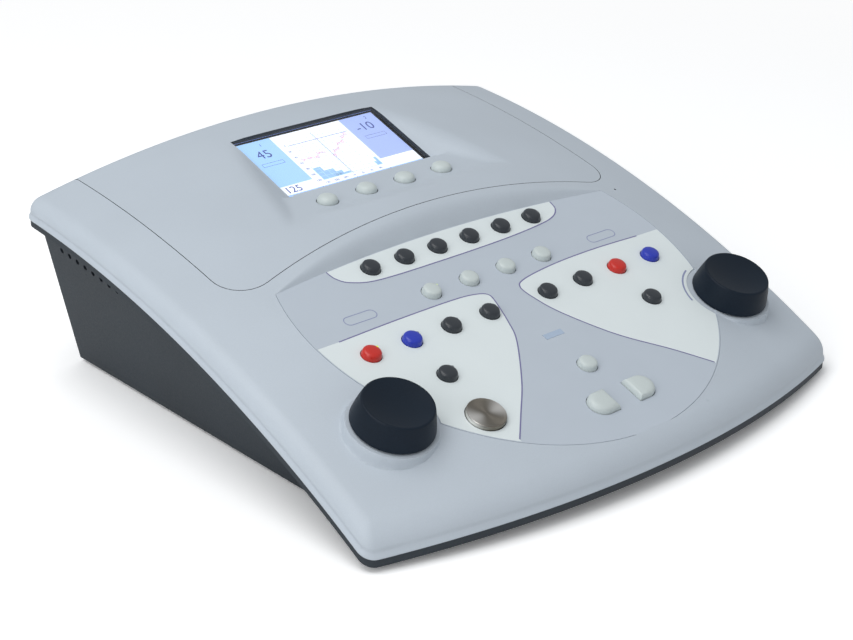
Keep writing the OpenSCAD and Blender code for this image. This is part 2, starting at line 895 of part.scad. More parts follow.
// Outer wall, rounded rim and dished top, hollow below round its hub
function knob_profile() = concat(
    [[hub_r + 4, 0], [knob_foot_r, 0], [knob_foot_r, 1.4]],
    [for (a = [0:15:75]) [knob_top_r - 1 + cos(a), knob_h - 1 + sin(a)]],
    [[knob_top_r - 1.2, knob_h]],
    [for (t = [1:8]) let (u = (knob_top_r - 1.2)*(1 - t/8)) [u, knob_h - knob_dish*(1 - pow(u/(knob_top_r - 1.2), 2))]],
    [[0, hub_h], [hub_r + 4, hub_h]]
);

module knob(s) {
    color("#20262c") on_panel([s*knob_x, knob_up]) difference() {
        rotate_extrude($fn = round*2) polygon(knob_profile());
        translate([0, 0, hub_h - over]) cylinder(h = shaft_up - hub_h + over, r = shaft_r, $fn = round);
    }
}

module knob_shaft(s) {
    color("#c9c9c4") on_panel([s*knob_x, knob_up])
        translate([0, 0, shaft_low]) cylinder(h = shaft_up - shaft_low, r = shaft_r, $fn = round);
}

module encoder(s) {
    top = -knob_gap - boss_floor_t;
    color("#7f868c") on_panel([s*knob_x, knob_up]) difference() {
        union() {
            translate([-encoder_w/2, -encoder_w/2, top - encoder_t]) cube([encoder_w, encoder_w, encoder_t]);
            translate([0, 0, top - over]) cylinder(h = boss_floor_t + nut_t + over + 0.8, r = bushing_r, $fn = small);
            translate([0, 0, -knob_gap]) cylinder(h = nut_t, r = nut_r, $fn = 6);
        }
        translate([0, 0, shaft_low - 0.5]) cylinder(h = huge/10, r = shaft_r + shaft_play, $fn = round);
    }
}

// ---------- lower case ----------

// The inside or outside of the slanting tray, drawn in by in
module tray(in, low) {
    base = case_half_w - in;
    rise = back_h + over;
    intersection() {
        translate([0, case_back_y - in, low]) rotate([90, 0, 0])
            linear_extrude(body_d) polygon([
                [-base - (low - foot_h)*case_slope, 0], [base + (low - foot_h)*case_slope, 0],
                [base + (low - foot_h + rise)*case_slope, rise], [-base - (low - foot_h + rise)*case_slope, rise]
            ]);
        translate([0, front_y + front_r, low])
            cylinder(h = rise, r1 = case_front_r - in, r2 = case_front_r - in + rise*case_slope, $fn = fine);
    }
}

// The hole and the sunken edge for the rear plate
module plate_seat() {
    on_back(0, plate_z, case_back_y - plate_sunk)
        translate([-plate_half_w - plate_gap, -plate_h/2 - plate_gap, 0])
            cube([2*(plate_half_w + plate_gap), plate_h + 2*plate_gap, plate_sunk + over]);
    on_back(0, plate_z, case_back_y - case_wall)
        translate([-plate_half_w + plate_lap, -plate_h/2 + plate_lap, -over])
            cube([2*(plate_half_w - plate_lap), plate_h - 2*plate_lap, case_wall + 2*over]);
}

module vents(s) {
    for (i = [0:vent_count - 1])
        translate([s*(body_w/2 - 20), back_y - vent_first.x - i*vent_pitch*cos(vent_tilt),
            vent_first.y - i*vent_pitch*sin(vent_tilt)])
            rotate([0, 90, 0]) cylinder(h = 40, r = vent_r, center = true, $fn = small);
}

module case_column(c) {
    translate([c.x, c.y, foot_h + 0.5]) cylinder(h = c.z - foot_h - 0.5, r = column_r, $fn = small);
}

module column_bore(c) {
    translate([c.x, c.y, foot_h - over])
        cylinder(h = c.z - screw_land - foot_h + over, r = column_bore_r, $fn = small);
    translate([c.x, c.y, foot_h]) cylinder(h = c.z, r = screw_r + screw_gap, $fn = small);
}

module tongue(s) {
    near = body_w/2 - cover_wall - tongue_in;
    difference() {
        intersection() {
            translate([s*(near - tongue_t/2) - tongue_t/2, tongue_y[0], 0])
                cube([tongue_t, tongue_y[1] - tongue_y[0], back_h]);
            crown(crown_r - flange_top_r - tongue_h);
        }
        crown(crown_r - flange_low_r - over);
    }
}

module lower_case() {
    color("#474e56") difference() {
        union() {
            difference() {
                union() {
                    intersection() {
                        tray(0, foot_h);
                        crown(crown_r - case_top_r);
                    }
                    difference() {
                        intersection() {
                            block(flange_in);
                            crown(crown_r - flange_top_r);
                        }
                        crown(crown_r - flange_low_r);
                    }
                    // tongues that locate the cover's long sides
                    for (s = [-1, 1]) tongue(s);
                }
                tray(case_wall, floor_z);
            }
            for (c = columns) case_column(c);
            for (p = floor_board_posts) translate([p.x, p.y, foot_h + over])
                cylinder(h = main_z - foot_h - over, r = post_r, $fn = small);
        }
        plate_seat();
        for (s = [-1, 1]) vents(s);
        for (c = columns) column_bore(c);
        for (p = floor_board_posts) translate([p.x, p.y, main_z - board_screw_l])
            cylinder(h = board_screw_l + over, r = pilot_r, $fn = small);
        for (p = foot_places) translate([p.x, p.y, foot_h - over])
            cylinder(h = foot_sunk + over, r = foot_r, $fn = round);
        // sound holes under the loudspeaker
        for (x = [-2:2]) for (y = [-2:2])
            translate([speaker_place.x + x*7, speaker_place.y + y*7, foot_h - over])
                cylinder(h = case_wall + 2*over, r = 1.5, $fn = small);
    }
}

module feet() {
    color("#26292c") for (p = foot_places)
        translate([p.x, p.y, 0]) cylinder(h = foot_h + foot_sunk, r = foot_r, $fn = round);
}

// ---------- inside ----------

// A circuit board on the posts of the case floor
module floor_board(x, w, d) {
    difference() {
        translate([x - w/2, main_y - d/2, main_z]) cube([w, d, board_t]);
        for (p = floor_board_posts) translate([p.x, p.y, main_z - over])
            cylinder(h = board_t + 2*over, r = board_hole_r, $fn = small);
    }
}

module main_board() {
    color("#2f6b45") floor_board(main_x, main_w, main_d);
    translate([main_x, main_y, main_z]) {
        color("#22252a") for (p = [[-50, 20, 28], [10, 25, 22], [50, -20, 16], [-20, -35, 20]])
            translate([p.x - p.z/2, p.y - p.z/2, board_t - 0.01]) cube([p.z, p.z, 2.5]);
    }
}

module power_module() {
    color("#2f6b45") floor_board(power_x, power_w, power_d);
    translate([power_x, main_y, main_z]) {
        color("#8f8a5c") translate([-26, -20, board_t - 0.01]) cube([52, 44, 26]);
        color("#30343a") for (y = [-46, 42]) translate([0, y, board_t - 0.01]) cylinder(h = 24, r = 9, $fn = small);
    }
}

module loudspeaker() {
    color("#3a3d40") translate([speaker_place.x, speaker_place.y, floor_z]) {
        cylinder(h = speaker_h - 6, r1 = speaker_r, r2 = speaker_r - 9, $fn = round);
        translate([0, 0, speaker_h - 6.01]) cylinder(h = 6, r = 12, $fn = round);
    }
}

module talkback_microphone() {
    color("#c2c4c6") translate([microphone_place.x, microphone_place.y, microphone_boss_z - 4])
        cylinder(h = 4, r = microphone_r, $fn = small);
}

// ---------- rear connectors ----------

// A blank plate from one x to another
module plate_blank(from, to) {
    on_back((from + to)/2, plate_z, case_back_y - plate_t)
        translate([(from - to)/2, -plate_h/2, 0]) cube([to - from, plate_h, plate_t]);
}

module plate_screw_hole(x) {
    on_back(x, plate_z, case_back_y - plate_t - over) cylinder(h = plate_t + 2*over, r = screw_r, $fn = small);
}

module jack_plate() {
    color("#9ba1a6") difference() {
        plate_blank(-plate_half_w, plate_split - plate_gap/2);
        for (i = [0:jack_count - 1]) on_back(jack_first + i*jack_pitch, plate_z, case_back_y - plate_t - over)
            cylinder(h = plate_t + 2*over, r = jack_nut_r - 0.8, $fn = round);
        plate_screw_hole(-plate_half_w + 2.6);
    }
}

module power_plate() {
    color("#9ba1a6") difference() {
        plate_blank(plate_split + plate_gap/2, plate_half_w);
        on_back(usb_x, plate_z, case_back_y - plate_t - over)
            translate([-usb_w/2, -usb_h/2, 0]) cube([usb_w, usb_h, plate_t + 2*over]);
        on_back(inlet_x, plate_z, case_back_y - plate_t - over)
            translate([-inlet_w/2, -inlet_h/2, 0]) cube([inlet_w, inlet_h, plate_t + 2*over]);
        on_back(rocker_x, plate_z, case_back_y - plate_t - over)
            translate([-rocker_w/2 - rocker_gap, -rocker_h/2 - rocker_gap, 0])
                cube([rocker_w + 2*rocker_gap, rocker_h + 2*rocker_gap, plate_t + 2*over]);
        plate_screw_hole(plate_half_w - 2.6);
    }
}

module jack_sockets() {
    color("#33373b") for (i = [0:jack_count - 1]) on_back(jack_first + i*jack_pitch, plate_z) difference() {
        union() {
            cylinder(h = jack_nut_t, r = jack_nut_r, $fn = 6);
            translate([0, 0, -plate_t - over]) cylinder(h = plate_t + 1.5*over, r = jack_nut_r - 1, $fn = round);
            translate([-jack_body/2, -jack_body/2, -plate_t - jack_l]) cube([jack_body, jack_body, jack_l]);
        }
        translate([0, 0, jack_nut_t - jack_l]) cylinder(h = jack_l + over, r = jack_r, $fn = round);
    }
}

module usb_socket() {
    color("#b7babd") on_back(usb_x, plate_z) difference() {
        translate([-usb_w/2, -usb_h/2, -usb_l]) cube([usb_w, usb_h, usb_l + 0.6]);
        translate([-usb_w/2 + usb_wall, -usb_h/2 + usb_wall, -usb_l + usb_wall*2])
            cube([usb_w - 2*usb_wall, usb_h - 2*usb_wall, usb_l + over]);
    }
}

module power_inlet() {
    deep = inlet_l - 3;
    color("#24272a") on_back(inlet_x, plate_z) {
        difference() {
            translate([-inlet_w/2, -inlet_h/2, -inlet_l]) cube([inlet_w, inlet_h, inlet_l + 1]);
            translate([-inlet_w/2 + inlet_wall, -inlet_h/2 + inlet_wall, -deep])
                cube([inlet_w - 2*inlet_wall, inlet_h - 2*inlet_wall, deep + 2*over]);
        }
        color("#c9c9c4") for (p = [[-7, -2], [0, 3], [7, -2]])
            translate([p.x - 1, p.y - 2, -deep - 0.5]) cube([2, 4, inlet_pin_l]);
    }
}

module power_rocker() {
    color("#1d2023") on_back(rocker_x, plate_z, case_back_y - rocker_in) rotate([rocker_tilt, 0, 0])
        intersection() {
            rotate([0, 90, 0]) cylinder(h = rocker_w, r = rocker_h/2, center = true, $fn = round);
            cube([rocker_w, rocker_h - 2*rocker_gap, 2*rocker_out], center = true);
        }
}

// ---------- fasteners ----------

module pan_screw(l, r, head_r, head_h) {
    cylinder(h = l, r = r, $fn = small);
    translate([0, 0, -head_h]) difference() {
        cylinder(h = head_h, r = head_r, $fn = small);
        translate([-head_r*0.6, -0.3, -over]) cube([head_r*1.2, 0.6, over + head_h/2]);
        translate([-0.3, -head_r*0.6, -over]) cube([0.6, head_r*1.2, over + head_h/2]);
    }
}

module case_screws() {
    color("#c4c6c8") for (c = columns) translate([c.x, c.y, c.z - screw_land])
        pan_screw(screw_land + screw_bite - over, screw_r, screw_head_r, screw_head_h);
}

module board_screw(l) {
    pan_screw(l, pilot_r - screw_play, 2.2, 1.4);
}

module board_screws() {
    color("#c4c6c8") {
        for (p = post_places) on_panel(p)
            translate([0, 0, board_top - board_t]) board_screw(board_t + 3);
        for (p = bracket_places) on_display()
            translate([p.x, p.y, module_low - bracket_t]) board_screw(bracket_t + 3);
        for (x = soft_post_x) on_ledge([x, 0])
            translate([0, 0, soft_board_top - board_t]) board_screw(board_t + 3);
        for (p = floor_board_posts) translate([p.x, p.y, main_z + board_t])
            mirror([0, 0, 1]) board_screw(board_t + 3);
    }
}

module plate_screws() {
    color("#c4c6c8") for (x = [-1, 1]) on_back(x*(plate_half_w - 2.6), plate_z)
        mirror([0, 0, 1]) pan_screw(plate_t, screw_r - 0.1, 2.6, 1.2);
}

lower_case();
top_cover();
display_cover();
display_window();
display_module();
display_bracket();
soft_key_board();
panel_overlay();
key_mat();
key_board();
status_lights();
response_window();
round_key(function_places[0], "#3a4149");  // function_key_1
round_key(function_places[1], "#3a4149");  // function_key_2
round_key(function_places[2], "#3a4149");  // function_key_3
round_key(function_places[3], "#3a4149");  // function_key_4
round_key(function_places[4], "#3a4149");  // function_key_5
round_key(function_places[5], "#3a4149");  // function_key_6
round_key(mode_places[0], "#c3ccc6");  // mode_key_1
round_key(mode_places[1], "#c3ccc6");  // mode_key_2
round_key(mode_places[2], "#c3ccc6");  // mode_key_3
round_key(mode_places[3], "#c3ccc6");  // mode_key_4
soft_key(0);  // soft_key_1
soft_key(1);  // soft_key_2
soft_key(2);  // soft_key_3
soft_key(3);  // soft_key_4
round_key(left_places[0], "#3a4149");  // left_input_key
round_key(left_places[1], "#3a4149");  // left_output_key
round_key(left_places[2], "#2a35a8");  // left_blue_key
round_key(left_places[3], "#c33228");  // left_red_key
round_key(left_places[4], "#3a4149");  // left_hold_key
round_key(right_places[0], "#3a4149");  // right_input_key
round_key(right_places[1], "#3a4149");  // right_output_key
round_key(right_places[2], "#c33228");  // right_red_key
round_key(right_places[3], "#2a35a8");  // right_blue_key
round_key(right_places[4], "#3a4149");  // right_hold_key
interrupter_key();
round_key(store_place, "#c3ccc6");  // store_key
frequency_key(-1);  // frequency_down_key
frequency_key(1);  // frequency_up_key
knob(-1);  // left_knob
knob(1);  // right_knob
knob_shaft(-1);  // left_shaft
knob_shaft(1);  // right_shaft
encoder(-1);  // left_encoder
encoder(1);  // right_encoder
main_board();
power_module();
loudspeaker();
talkback_microphone();
jack_plate();
power_plate();
jack_sockets();
usb_socket();
power_inlet();
power_rocker();
feet();
case_screws();
board_screws();
plate_screws();
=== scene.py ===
from math import asin, atan2, cos, hypot, pi, radians, sin, sqrt, tan

import bmesh
import bpy
import numpy as np
from mathutils import Matrix, Vector
from mathutils.geometry import delaunay_2d_cdt
from mathutils.kdtree import KDTree


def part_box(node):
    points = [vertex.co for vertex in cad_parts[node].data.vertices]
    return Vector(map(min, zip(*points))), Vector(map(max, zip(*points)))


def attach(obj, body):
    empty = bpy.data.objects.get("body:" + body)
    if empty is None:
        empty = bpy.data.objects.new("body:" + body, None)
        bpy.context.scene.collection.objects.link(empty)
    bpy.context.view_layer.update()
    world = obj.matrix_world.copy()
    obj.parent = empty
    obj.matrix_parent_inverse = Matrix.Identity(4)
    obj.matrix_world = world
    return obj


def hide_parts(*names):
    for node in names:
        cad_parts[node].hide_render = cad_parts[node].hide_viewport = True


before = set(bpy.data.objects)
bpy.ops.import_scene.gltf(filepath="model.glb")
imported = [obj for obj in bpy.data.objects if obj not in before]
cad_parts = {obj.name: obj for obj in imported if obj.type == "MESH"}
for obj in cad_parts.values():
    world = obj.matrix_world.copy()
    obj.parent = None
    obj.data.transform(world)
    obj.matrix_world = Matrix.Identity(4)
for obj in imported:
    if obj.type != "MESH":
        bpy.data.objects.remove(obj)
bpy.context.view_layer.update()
scene = bpy.context.scene
scene.view_settings.view_transform = "Standard"
MM = 0.001

# ---------------------------------------------------------------- studio
# A white sweep under two soft boxes. The sweep is matt paper: it looks white
# to the camera and keeps the soft dark shadow under the console.


def hex_colour(code):
    """An sRGB hex colour as a linear RGBA value."""
    parts = [int(code[i:i + 2], 16) / 255 for i in (1, 3, 5)]
    return [c / 12.92 if c <= 0.04045 else ((c + 0.055) / 1.055) ** 2.4 for c in parts] + [1]


def add(tree, kind, inputs=None, **settings):
    """Adds a node with its settings, and its inputs as values or as links."""
    made = tree.nodes.new(kind)
    for name, value in settings.items():
        setattr(made, name, value)
    for name, value in (inputs or {}).items():
        if isinstance(value, bpy.types.NodeSocket):
            tree.links.new(value, made.inputs[name])
        else:
            made.inputs[name].default_value = value
    return made


def new_material(name):
    """An empty material: itself, its tree, and the place on the object."""
    material = bpy.data.materials.new(name)
    material.use_nodes = True
    tree = material.node_tree
    tree.nodes.clear()
    return material, tree, add(tree, "ShaderNodeTexCoord").outputs["Object"]


def noise(tree, place, size, detail=2.0):
    """Noise whose spots are about size millimetres wide."""
    return add(tree, "ShaderNodeTexNoise", {"Vector": place, "Scale": 1 / (size * MM), "Detail": detail})


def bumped(tree, pattern, strength, depth):
    """Bumps that follow a pattern, depth millimetres high."""
    return add(tree, "ShaderNodeBump", {"Height": pattern.outputs["Fac"], "Strength": strength,
                                        "Distance": depth * MM})


camera_focal = 77.91
camera_place = Vector((-681.27, -756.61, 484.84)) * MM
camera_azimuth, camera_elevation = -41.19, 23.64
camera_data = bpy.data.cameras.new("camera")
camera_data.lens = camera_focal
camera_data.sensor_width = 36
camera = bpy.data.objects.new("camera", camera_data)
camera.location = camera_place
camera.rotation_euler = (radians(90 - camera_elevation), 0, radians(camera_azimuth))
scene.collection.objects.link(camera)
scene.camera = camera

world = bpy.data.worlds.new("studio")
world.use_nodes = True
world.node_tree.nodes.clear()
tree = world.node_tree
rays = add(tree, "ShaderNodeLightPath")
seen = add(tree, "ShaderNodeMath", {0: rays.outputs["Is Camera Ray"], 1: rays.outputs["Is Transmission Ray"]},
           operation="MAXIMUM")
room = add(tree, "ShaderNodeBackground", {"Color": hex_colour("#F2F5F8"), "Strength": 0.55})
white = add(tree, "ShaderNodeBackground", {"Color": (1, 1, 1, 1), "Strength": 1.0})
either = add(tree, "ShaderNodeMixShader", {"Fac": seen.outputs[0], 1: room.outputs[0], 2: white.outputs[0]})
add(tree, "ShaderNodeOutputWorld", {"Surface": either.outputs[0]})
scene.world = world


def soft_box(name, place, target, size, power):
    """A square studio lamp that points at target."""
    lamp = bpy.data.lights.new(name, "AREA")
    lamp.size = size
    lamp.energy = power
    holder = bpy.data.objects.new(name, lamp)
    holder.location = place
    holder.rotation_euler = (Vector(target) - Vector(place)).to_track_quat("-Z", "Y").to_euler()
    scene.collection.objects.link(holder)


soft_box("top_box", (-0.7, 0.1, 2.0), (0, 0, 0.05), 1.4, 19)
soft_box("side_box", (-1.7, -0.5, 0.9), (0, 0, 0.05), 1.0, 9)


def mesh_object(name, points, faces, materials, scale=MM, marks=None):
    """Makes an object from points in millimetres. marks gives each face's material."""
    data = bpy.data.meshes.new(name)
    data.from_pydata([Vector(p) * scale for p in points], [], faces)
    for material in materials:
        data.materials.append(material)
    if marks is not None:
        for polygon, mark in zip(data.polygons, marks):
            polygon.material_index = mark
    data.update()
    made = bpy.data.objects.new(name, data)
    scene.collection.objects.link(made)
    return made


paper, tree, place = new_material("white_paper_sweep")
rays = add(tree, "ShaderNodeLightPath")
away = add(tree, "ShaderNodeVectorMath", {0: place}, operation="LENGTH")
far = add(tree, "ShaderNodeMapRange", {0: away.outputs["Value"], 1: 0.45, 2: 1.3, 3: 0.08, 4: 1.0})
fibres = noise(tree, place, 3)
sheet_tone = add(tree, "ShaderNodeMix", {0: rays.outputs["Is Camera Ray"], 6: (0.88, 0.88, 0.88, 1),
                                         7: (1.24, 1.24, 1.24, 1)}, data_type="RGBA")
paper_bump = bumped(tree, fibres, 0.1, 0.02)
matt = add(tree, "ShaderNodeBsdfDiffuse", {"Color": sheet_tone.outputs[2], "Normal": paper_bump.outputs[0]})
lit = add(tree, "ShaderNodeEmission", {"Color": (1, 1, 1, 1), "Strength": 1.0})
share = add(tree, "ShaderNodeMath", {0: rays.outputs["Is Camera Ray"], 1: far.outputs[0]},
            operation="MULTIPLY")
both = add(tree, "ShaderNodeMixShader", {"Fac": share.outputs[0], 1: matt.outputs[0], 2: lit.outputs[0]})
add(tree, "ShaderNodeOutputMaterial", {"Surface": both.outputs[0]})
sweep_half = 4000
sweep = mesh_object("paper_sweep", [(-sweep_half, -sweep_half, 0), (sweep_half, -sweep_half, 0),
                                    (sweep_half, sweep_half, 0), (-sweep_half, sweep_half, 0)],
                    [(0, 1, 2, 3)], [paper])

# ---------------------------------------------------------------- top cover
# The one-piece upper shell: ABS moulding, light blue-grey, a piece of a large
# sphere with a fine spark-eroded grain. Screws from below hold it to the case.


def toned(colour, part):
    """A hex colour made darker or paler by a part of itself."""
    return [min(1, c * part) for c in hex_colour(colour)[:3]] + [1]


def surface(tree, inputs):
    """Ends a tree in a Principled shader with these inputs."""
    shader = add(tree, "ShaderNodeBsdfPrincipled", inputs)
    add(tree, "ShaderNodeOutputMaterial", {"Surface": shader.outputs[0]})


def moulded(name, colour, grain, roughness, depth, mottle=0.05, gloss=0.5):
    """Plastic from a spark-eroded mould: fine pits of the grain's size (mm), a slightly
    uneven tone, and a roughness that changes a little from place to place."""
    material, tree, place = new_material(name)
    pits = noise(tree, place, grain, 3.0)
    flow = noise(tree, place, 60)
    blend = add(tree, "ShaderNodeMath", {0: pits.outputs["Fac"], 1: flow.outputs["Fac"]}, operation="ADD")
    half = add(tree, "ShaderNodeMath", {0: blend.outputs[0], 1: 0.5}, operation="MULTIPLY")
    tone = add(tree, "ShaderNodeMapRange", {0: half.outputs[0], 1: 0.35, 2: 0.65})
    tint = add(tree, "ShaderNodeMix", {0: tone.outputs[0], 6: toned(colour, 1 - mottle),
                                       7: toned(colour, 1 + mottle)}, data_type="RGBA")
    rough = add(tree, "ShaderNodeMapRange", {0: pits.outputs["Fac"], 1: 0.3, 2: 0.7,
                                             3: roughness - 0.06, 4: roughness + 0.06})
    bump = bumped(tree, pits, 0.5, depth)
    surface(tree, {"Base Color": tint.outputs[2], "Roughness": rough.outputs[0],
                   "Specular IOR Level": gloss, "Normal": bump.outputs[0]})
    return material


# Light blue-grey ABS: matt, so the crown shows only broad soft highlights
cover_abs = moulded("light_grey_abs", "#B8C1CA", 0.7, 0.5, 0.03, mottle=0.03)
# Painted shade: a dark grey for what shows inside gaps and holes of the shell, where no light gets in
painted_shade_abs = moulded("painted_shade_grey_abs", "#3A4047", 0.9, 0.7, 0.02)

cover_low, cover_high = [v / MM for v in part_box("top_cover")]
half_w, front_y, back_edge = cover_high.x, cover_low.y, cover_high.y
back_y = -front_y
crown_r = 800
crown_lead = 54.5
crown_top = 134
front_r = 520
corner_r = 10
rim_h = 10
crown_y = back_y + crown_lead
crown_z = crown_top - sqrt(crown_r**2 - crown_lead**2)
bow_y = front_y + front_r

# The flat control panel: its tilt, and the store key's place, where s = 0
panel_tilt = radians(20)
panel_y, panel_z = -114, 49.5
panel_off = -(panel_y - crown_y) * sin(panel_tilt) + (panel_z - crown_z) * cos(panel_tilt)
panel_mid = (crown_y - panel_y) * cos(panel_tilt) + (crown_z - panel_z) * sin(panel_tilt)
rim_r = sqrt(crown_r**2 - panel_off**2)
overlay_t = 0.5
arch_up, arch_r, arch_lean = 131, 930, 1.2
knob_x, knob_up, boss_r = 133, 11.2, 25.5
boss_drop = 0.8

# Moves a panel place (x, up the slope, out of the panel) to the row frame, in mm
on_panel = Matrix.Translation((0, panel_y, panel_z)) @ Matrix.Rotation(panel_tilt, 4, "X")


def to_panel(point):
    return on_panel.inverted() @ Vector(point)


def crown_height(x, y, depth=0.0):
    """Height of the crown at a place seen from above, depth under its surface."""
    return crown_z + sqrt((crown_r - depth)**2 - x * x - (y - crown_y)**2)


def crown_over(x, s):
    """Height of the crown over the panel's plane."""
    return sqrt(max(crown_r**2 - x * x - (s - panel_mid)**2, 0)) - panel_off


def soft_min(a, b, k):
    h = max(k - abs(a - b), 0)
    return min(a, b) - (h * h / (4 * k) if k > 0 else 0)


def soft_max(a, b, k):
    return -soft_min(-a, -b, k)


def arch_foot(x):
    return arch_up - arch_r + sqrt(arch_r**2 - x * x)


def arch_top(x):
    """Place up the slope where the arch wall comes out of the crown."""
    s = arch_foot(x)
    for _ in range(8):
        s = arch_foot(x) + arch_lean * max(crown_over(x, s), 0)
    return s


def boss_height(x, s):
    rho = hypot(abs(x) - knob_x, s - knob_up)
    return -boss_drop - max(rho - boss_r, 0) * 5


def cover_height(x, s):
    """The cover's surface over the panel's plane, at x and up the slope."""
    crown = crown_over(x, s)
    if hypot(x, s - panel_mid) < rim_r - 0.05:
        wall = (s - arch_foot(x)) / arch_lean
        depth = crown + overlay_t
        surface = max(-overlay_t, soft_min(crown, wall, min(5.0, 0.5 * max(depth - 0.6, 0))))
    else:
        surface = crown
    rho = hypot(abs(x) - knob_x, s - knob_up)
    if rho < boss_r + 9:
        surface = soft_max(surface, boss_height(x, s), 1.4)
    return surface


seam_x, seam_half, seam_arch_r, seam_depth, seam_corner_r = 150, 0.22, 674, 153, 20


def outline(inset, steps=(6, 60, 9, 84, 40)):
    """The cover from above, drawn in by inset, from the middle of the back edge to the
    right and round. Each inset gives the same count of points."""
    outer, middle, corner, side, bow_steps = steps
    half, back, bow = half_w - inset, back_edge - inset, front_r - inset
    r = max(corner_r - inset, 0.4)
    last = half - r
    xs = [i * (seam_x - seam_half) / (middle / 2) for i in range(middle // 2 + 1)]
    xs += [seam_x + seam_half + i * (last - seam_x - seam_half) / outer for i in range(outer + 1)]
    right = [(x, back) for x in xs]
    right += [(last + r * sin(a), back - r + r * cos(a))
              for a in (i * pi / 2 / corner for i in range(1, corner + 1))]
    low = bow_y - sqrt((bow - r)**2 - last**2)
    right += [(half, back - r + i * (low - back + r) / side) for i in range(1, side + 1)]
    turn = asin(last / (bow - r))
    right += [(last + r * cos(a), low - r * sin(a))
              for a in (i * (pi / 2 - turn) / corner for i in range(1, corner + 1))]
    right += [(bow * sin(a), bow_y - bow * cos(a))
              for a in (turn * (1 - i / bow_steps) for i in range(1, bow_steps + 1))]
    left = [(-x, y) for x, y in reversed(right[1:-1])]
    return right + left


def seam_line(inset):
    """The seam round the display cover, from the right back corner to the front and round
    to the left back corner. A positive inset lies inside the display cover."""
    half, arch = seam_x - inset, seam_arch_r + inset
    arch_y = back_y - seam_depth - seam_arch_r
    r = seam_corner_r - inset
    cx = half - r
    cy = arch_y + sqrt((arch + r)**2 - cx**2)
    start = atan2(arch_y - cy, -cx)
    end = asin(cx / (arch + r))
    right = [(half, cy + (back_edge - edge_profile[0][0] - cy) * (1 - i / 30)) for i in range(31)]
    right += [(cx + r * cos(start * i / 10), cy + r * sin(start * i / 10)) for i in range(1, 11)]
    right += [(arch * sin(end * (1 - i / 34)), arch_y + arch * cos(end * (1 - i / 34))) for i in range(1, 35)]
    return right + [(-x, y) for x, y in reversed(right[:-1])]


# The edge from the crown down to the rim: inset from the outline, depth under the crown.
# A rounding, a shallow hollow line, and a lip that flares out to the rim
round_r = 9.0
edge_profile = [(round_r * (1 - sin(a)) + 1.1, round_r * (1 - cos(a)) * 0.72)
                for a in (i * pi / 2 / 10 for i in range(11))]
edge_profile += [(1.35, 7.2), (1.0, 8.1), (0.35, 8.8), (0.02, 9.4), (0.0, rim_h), (3.0, rim_h), (3.2, 6.0)]
edge_profile[0] = (round_r + 1.1, 0.0)


def even_odd(points, loop):
    """Which of the points (an n by 2 array) lie inside the closed loop."""
    hit = np.zeros(len(points), bool)
    px, py = points[:, 0], points[:, 1]
    for (x0, y0), (x1, y1) in zip(loop, loop[1:] + loop[:1]):
        if y0 == y1:
            continue
        cross = ((y0 > py) != (y1 > py)) & (px < (x1 - x0) * (py - y0) / (y1 - y0) + x0)
        hit ^= cross
    return hit


def lay_sheet(boundary, holes, lines, dots, clear=0.9):
    """Triangles over a flat region: its boundary and holes are closed loops, lines are
    open ones that edges follow, and dots fill the rest where they keep clear of them."""
    points, edges = [], []
    for loop, closed in [(boundary, True)] + [(h, True) for h in holes] + [(line, False) for line in lines]:
        first = len(points)
        points += [tuple(p[:2]) for p in loop]
        edges += [(first + i, first + i + 1) for i in range(len(loop) - 1)]
        if closed:
            edges.append((len(points) - 1, first))
    tree = KDTree(len(points))
    for i, p in enumerate(points):
        tree.insert((p[0], p[1], 0), i)
    tree.balance()
    if len(dots):
        grid = np.array([d[:2] for d in dots])
        grid = grid[even_odd(grid, boundary)]
        points += [(x, y) for x, y in grid if tree.find((x, y, 0))[2] > clear]
    out, _, faces = delaunay_2d_cdt([Vector(p) for p in points], edges, [], 0, 1e-5)[:3]
    flat = np.array([(v.x, v.y) for v in out])
    faces = [f if (flat[f[1]] - flat[f[0]])[0] * (flat[f[2]] - flat[f[0]])[1]
             - (flat[f[1]] - flat[f[0]])[1] * (flat[f[2]] - flat[f[0]])[0] > 0 else f[::-1] for f in faces]
    middle = np.array([flat[list(f)].mean(axis=0) for f in faces])
    keep = even_odd(middle, boundary)
    for hole in holes:
        keep &= ~even_odd(middle, hole)
    kept = [f for f, k in zip(faces, keep) if k]
    used = sorted({i for f in kept for i in f})
    new = {old: i for i, old in enumerate(used)}
    return [tuple(flat[i]) for i in used], [tuple(new[i] for i in f) for f in kept]


def circle(x, y, r, count=32):
    return [(x + r * cos(2 * pi * i / count), y + r * sin(2 * pi * i / count)) for i in range(count)]


class Shell:
    """Collects points and faces of one moulded piece, then welds them."""

    def __init__(self):
        self.points, self.faces, self.marks = [], [], []

    def sheet(self, points, faces, mark=0):
        first = len(self.points)
        self.points += points
        self.faces += [tuple(first + i for i in f) for f in faces]
        self.marks += [mark] * len(faces)

    def band(self, upper, lower, closed=True, mark=0):
        """A strip between two lines of the same count of points."""
        n = len(upper)
        last = n if closed else n - 1
        self.sheet(list(upper) + list(lower),
                   [(i, n + i, n + (i + 1) % n, (i + 1) % n) for i in range(last)], mark)

    def build(self, name, materials, sharp=38, weld=0.02):
        made = mesh_object(name, self.points, self.faces, materials, marks=self.marks)
        edit = bmesh.new()
        edit.from_mesh(made.data)
        bmesh.ops.remove_doubles(edit, verts=edit.verts, dist=weld * MM)
        bmesh.ops.recalc_face_normals(edit, faces=edit.faces)
        edit.to_mesh(made.data)
        edit.free()
        made.data.shade_smooth()
        made.data.set_sharp_from_angle(angle=radians(sharp))
        return made


def lifted(points, inset_depth):
    return [(x, y, crown_height(x, y, inset_depth)) for x, y in points]


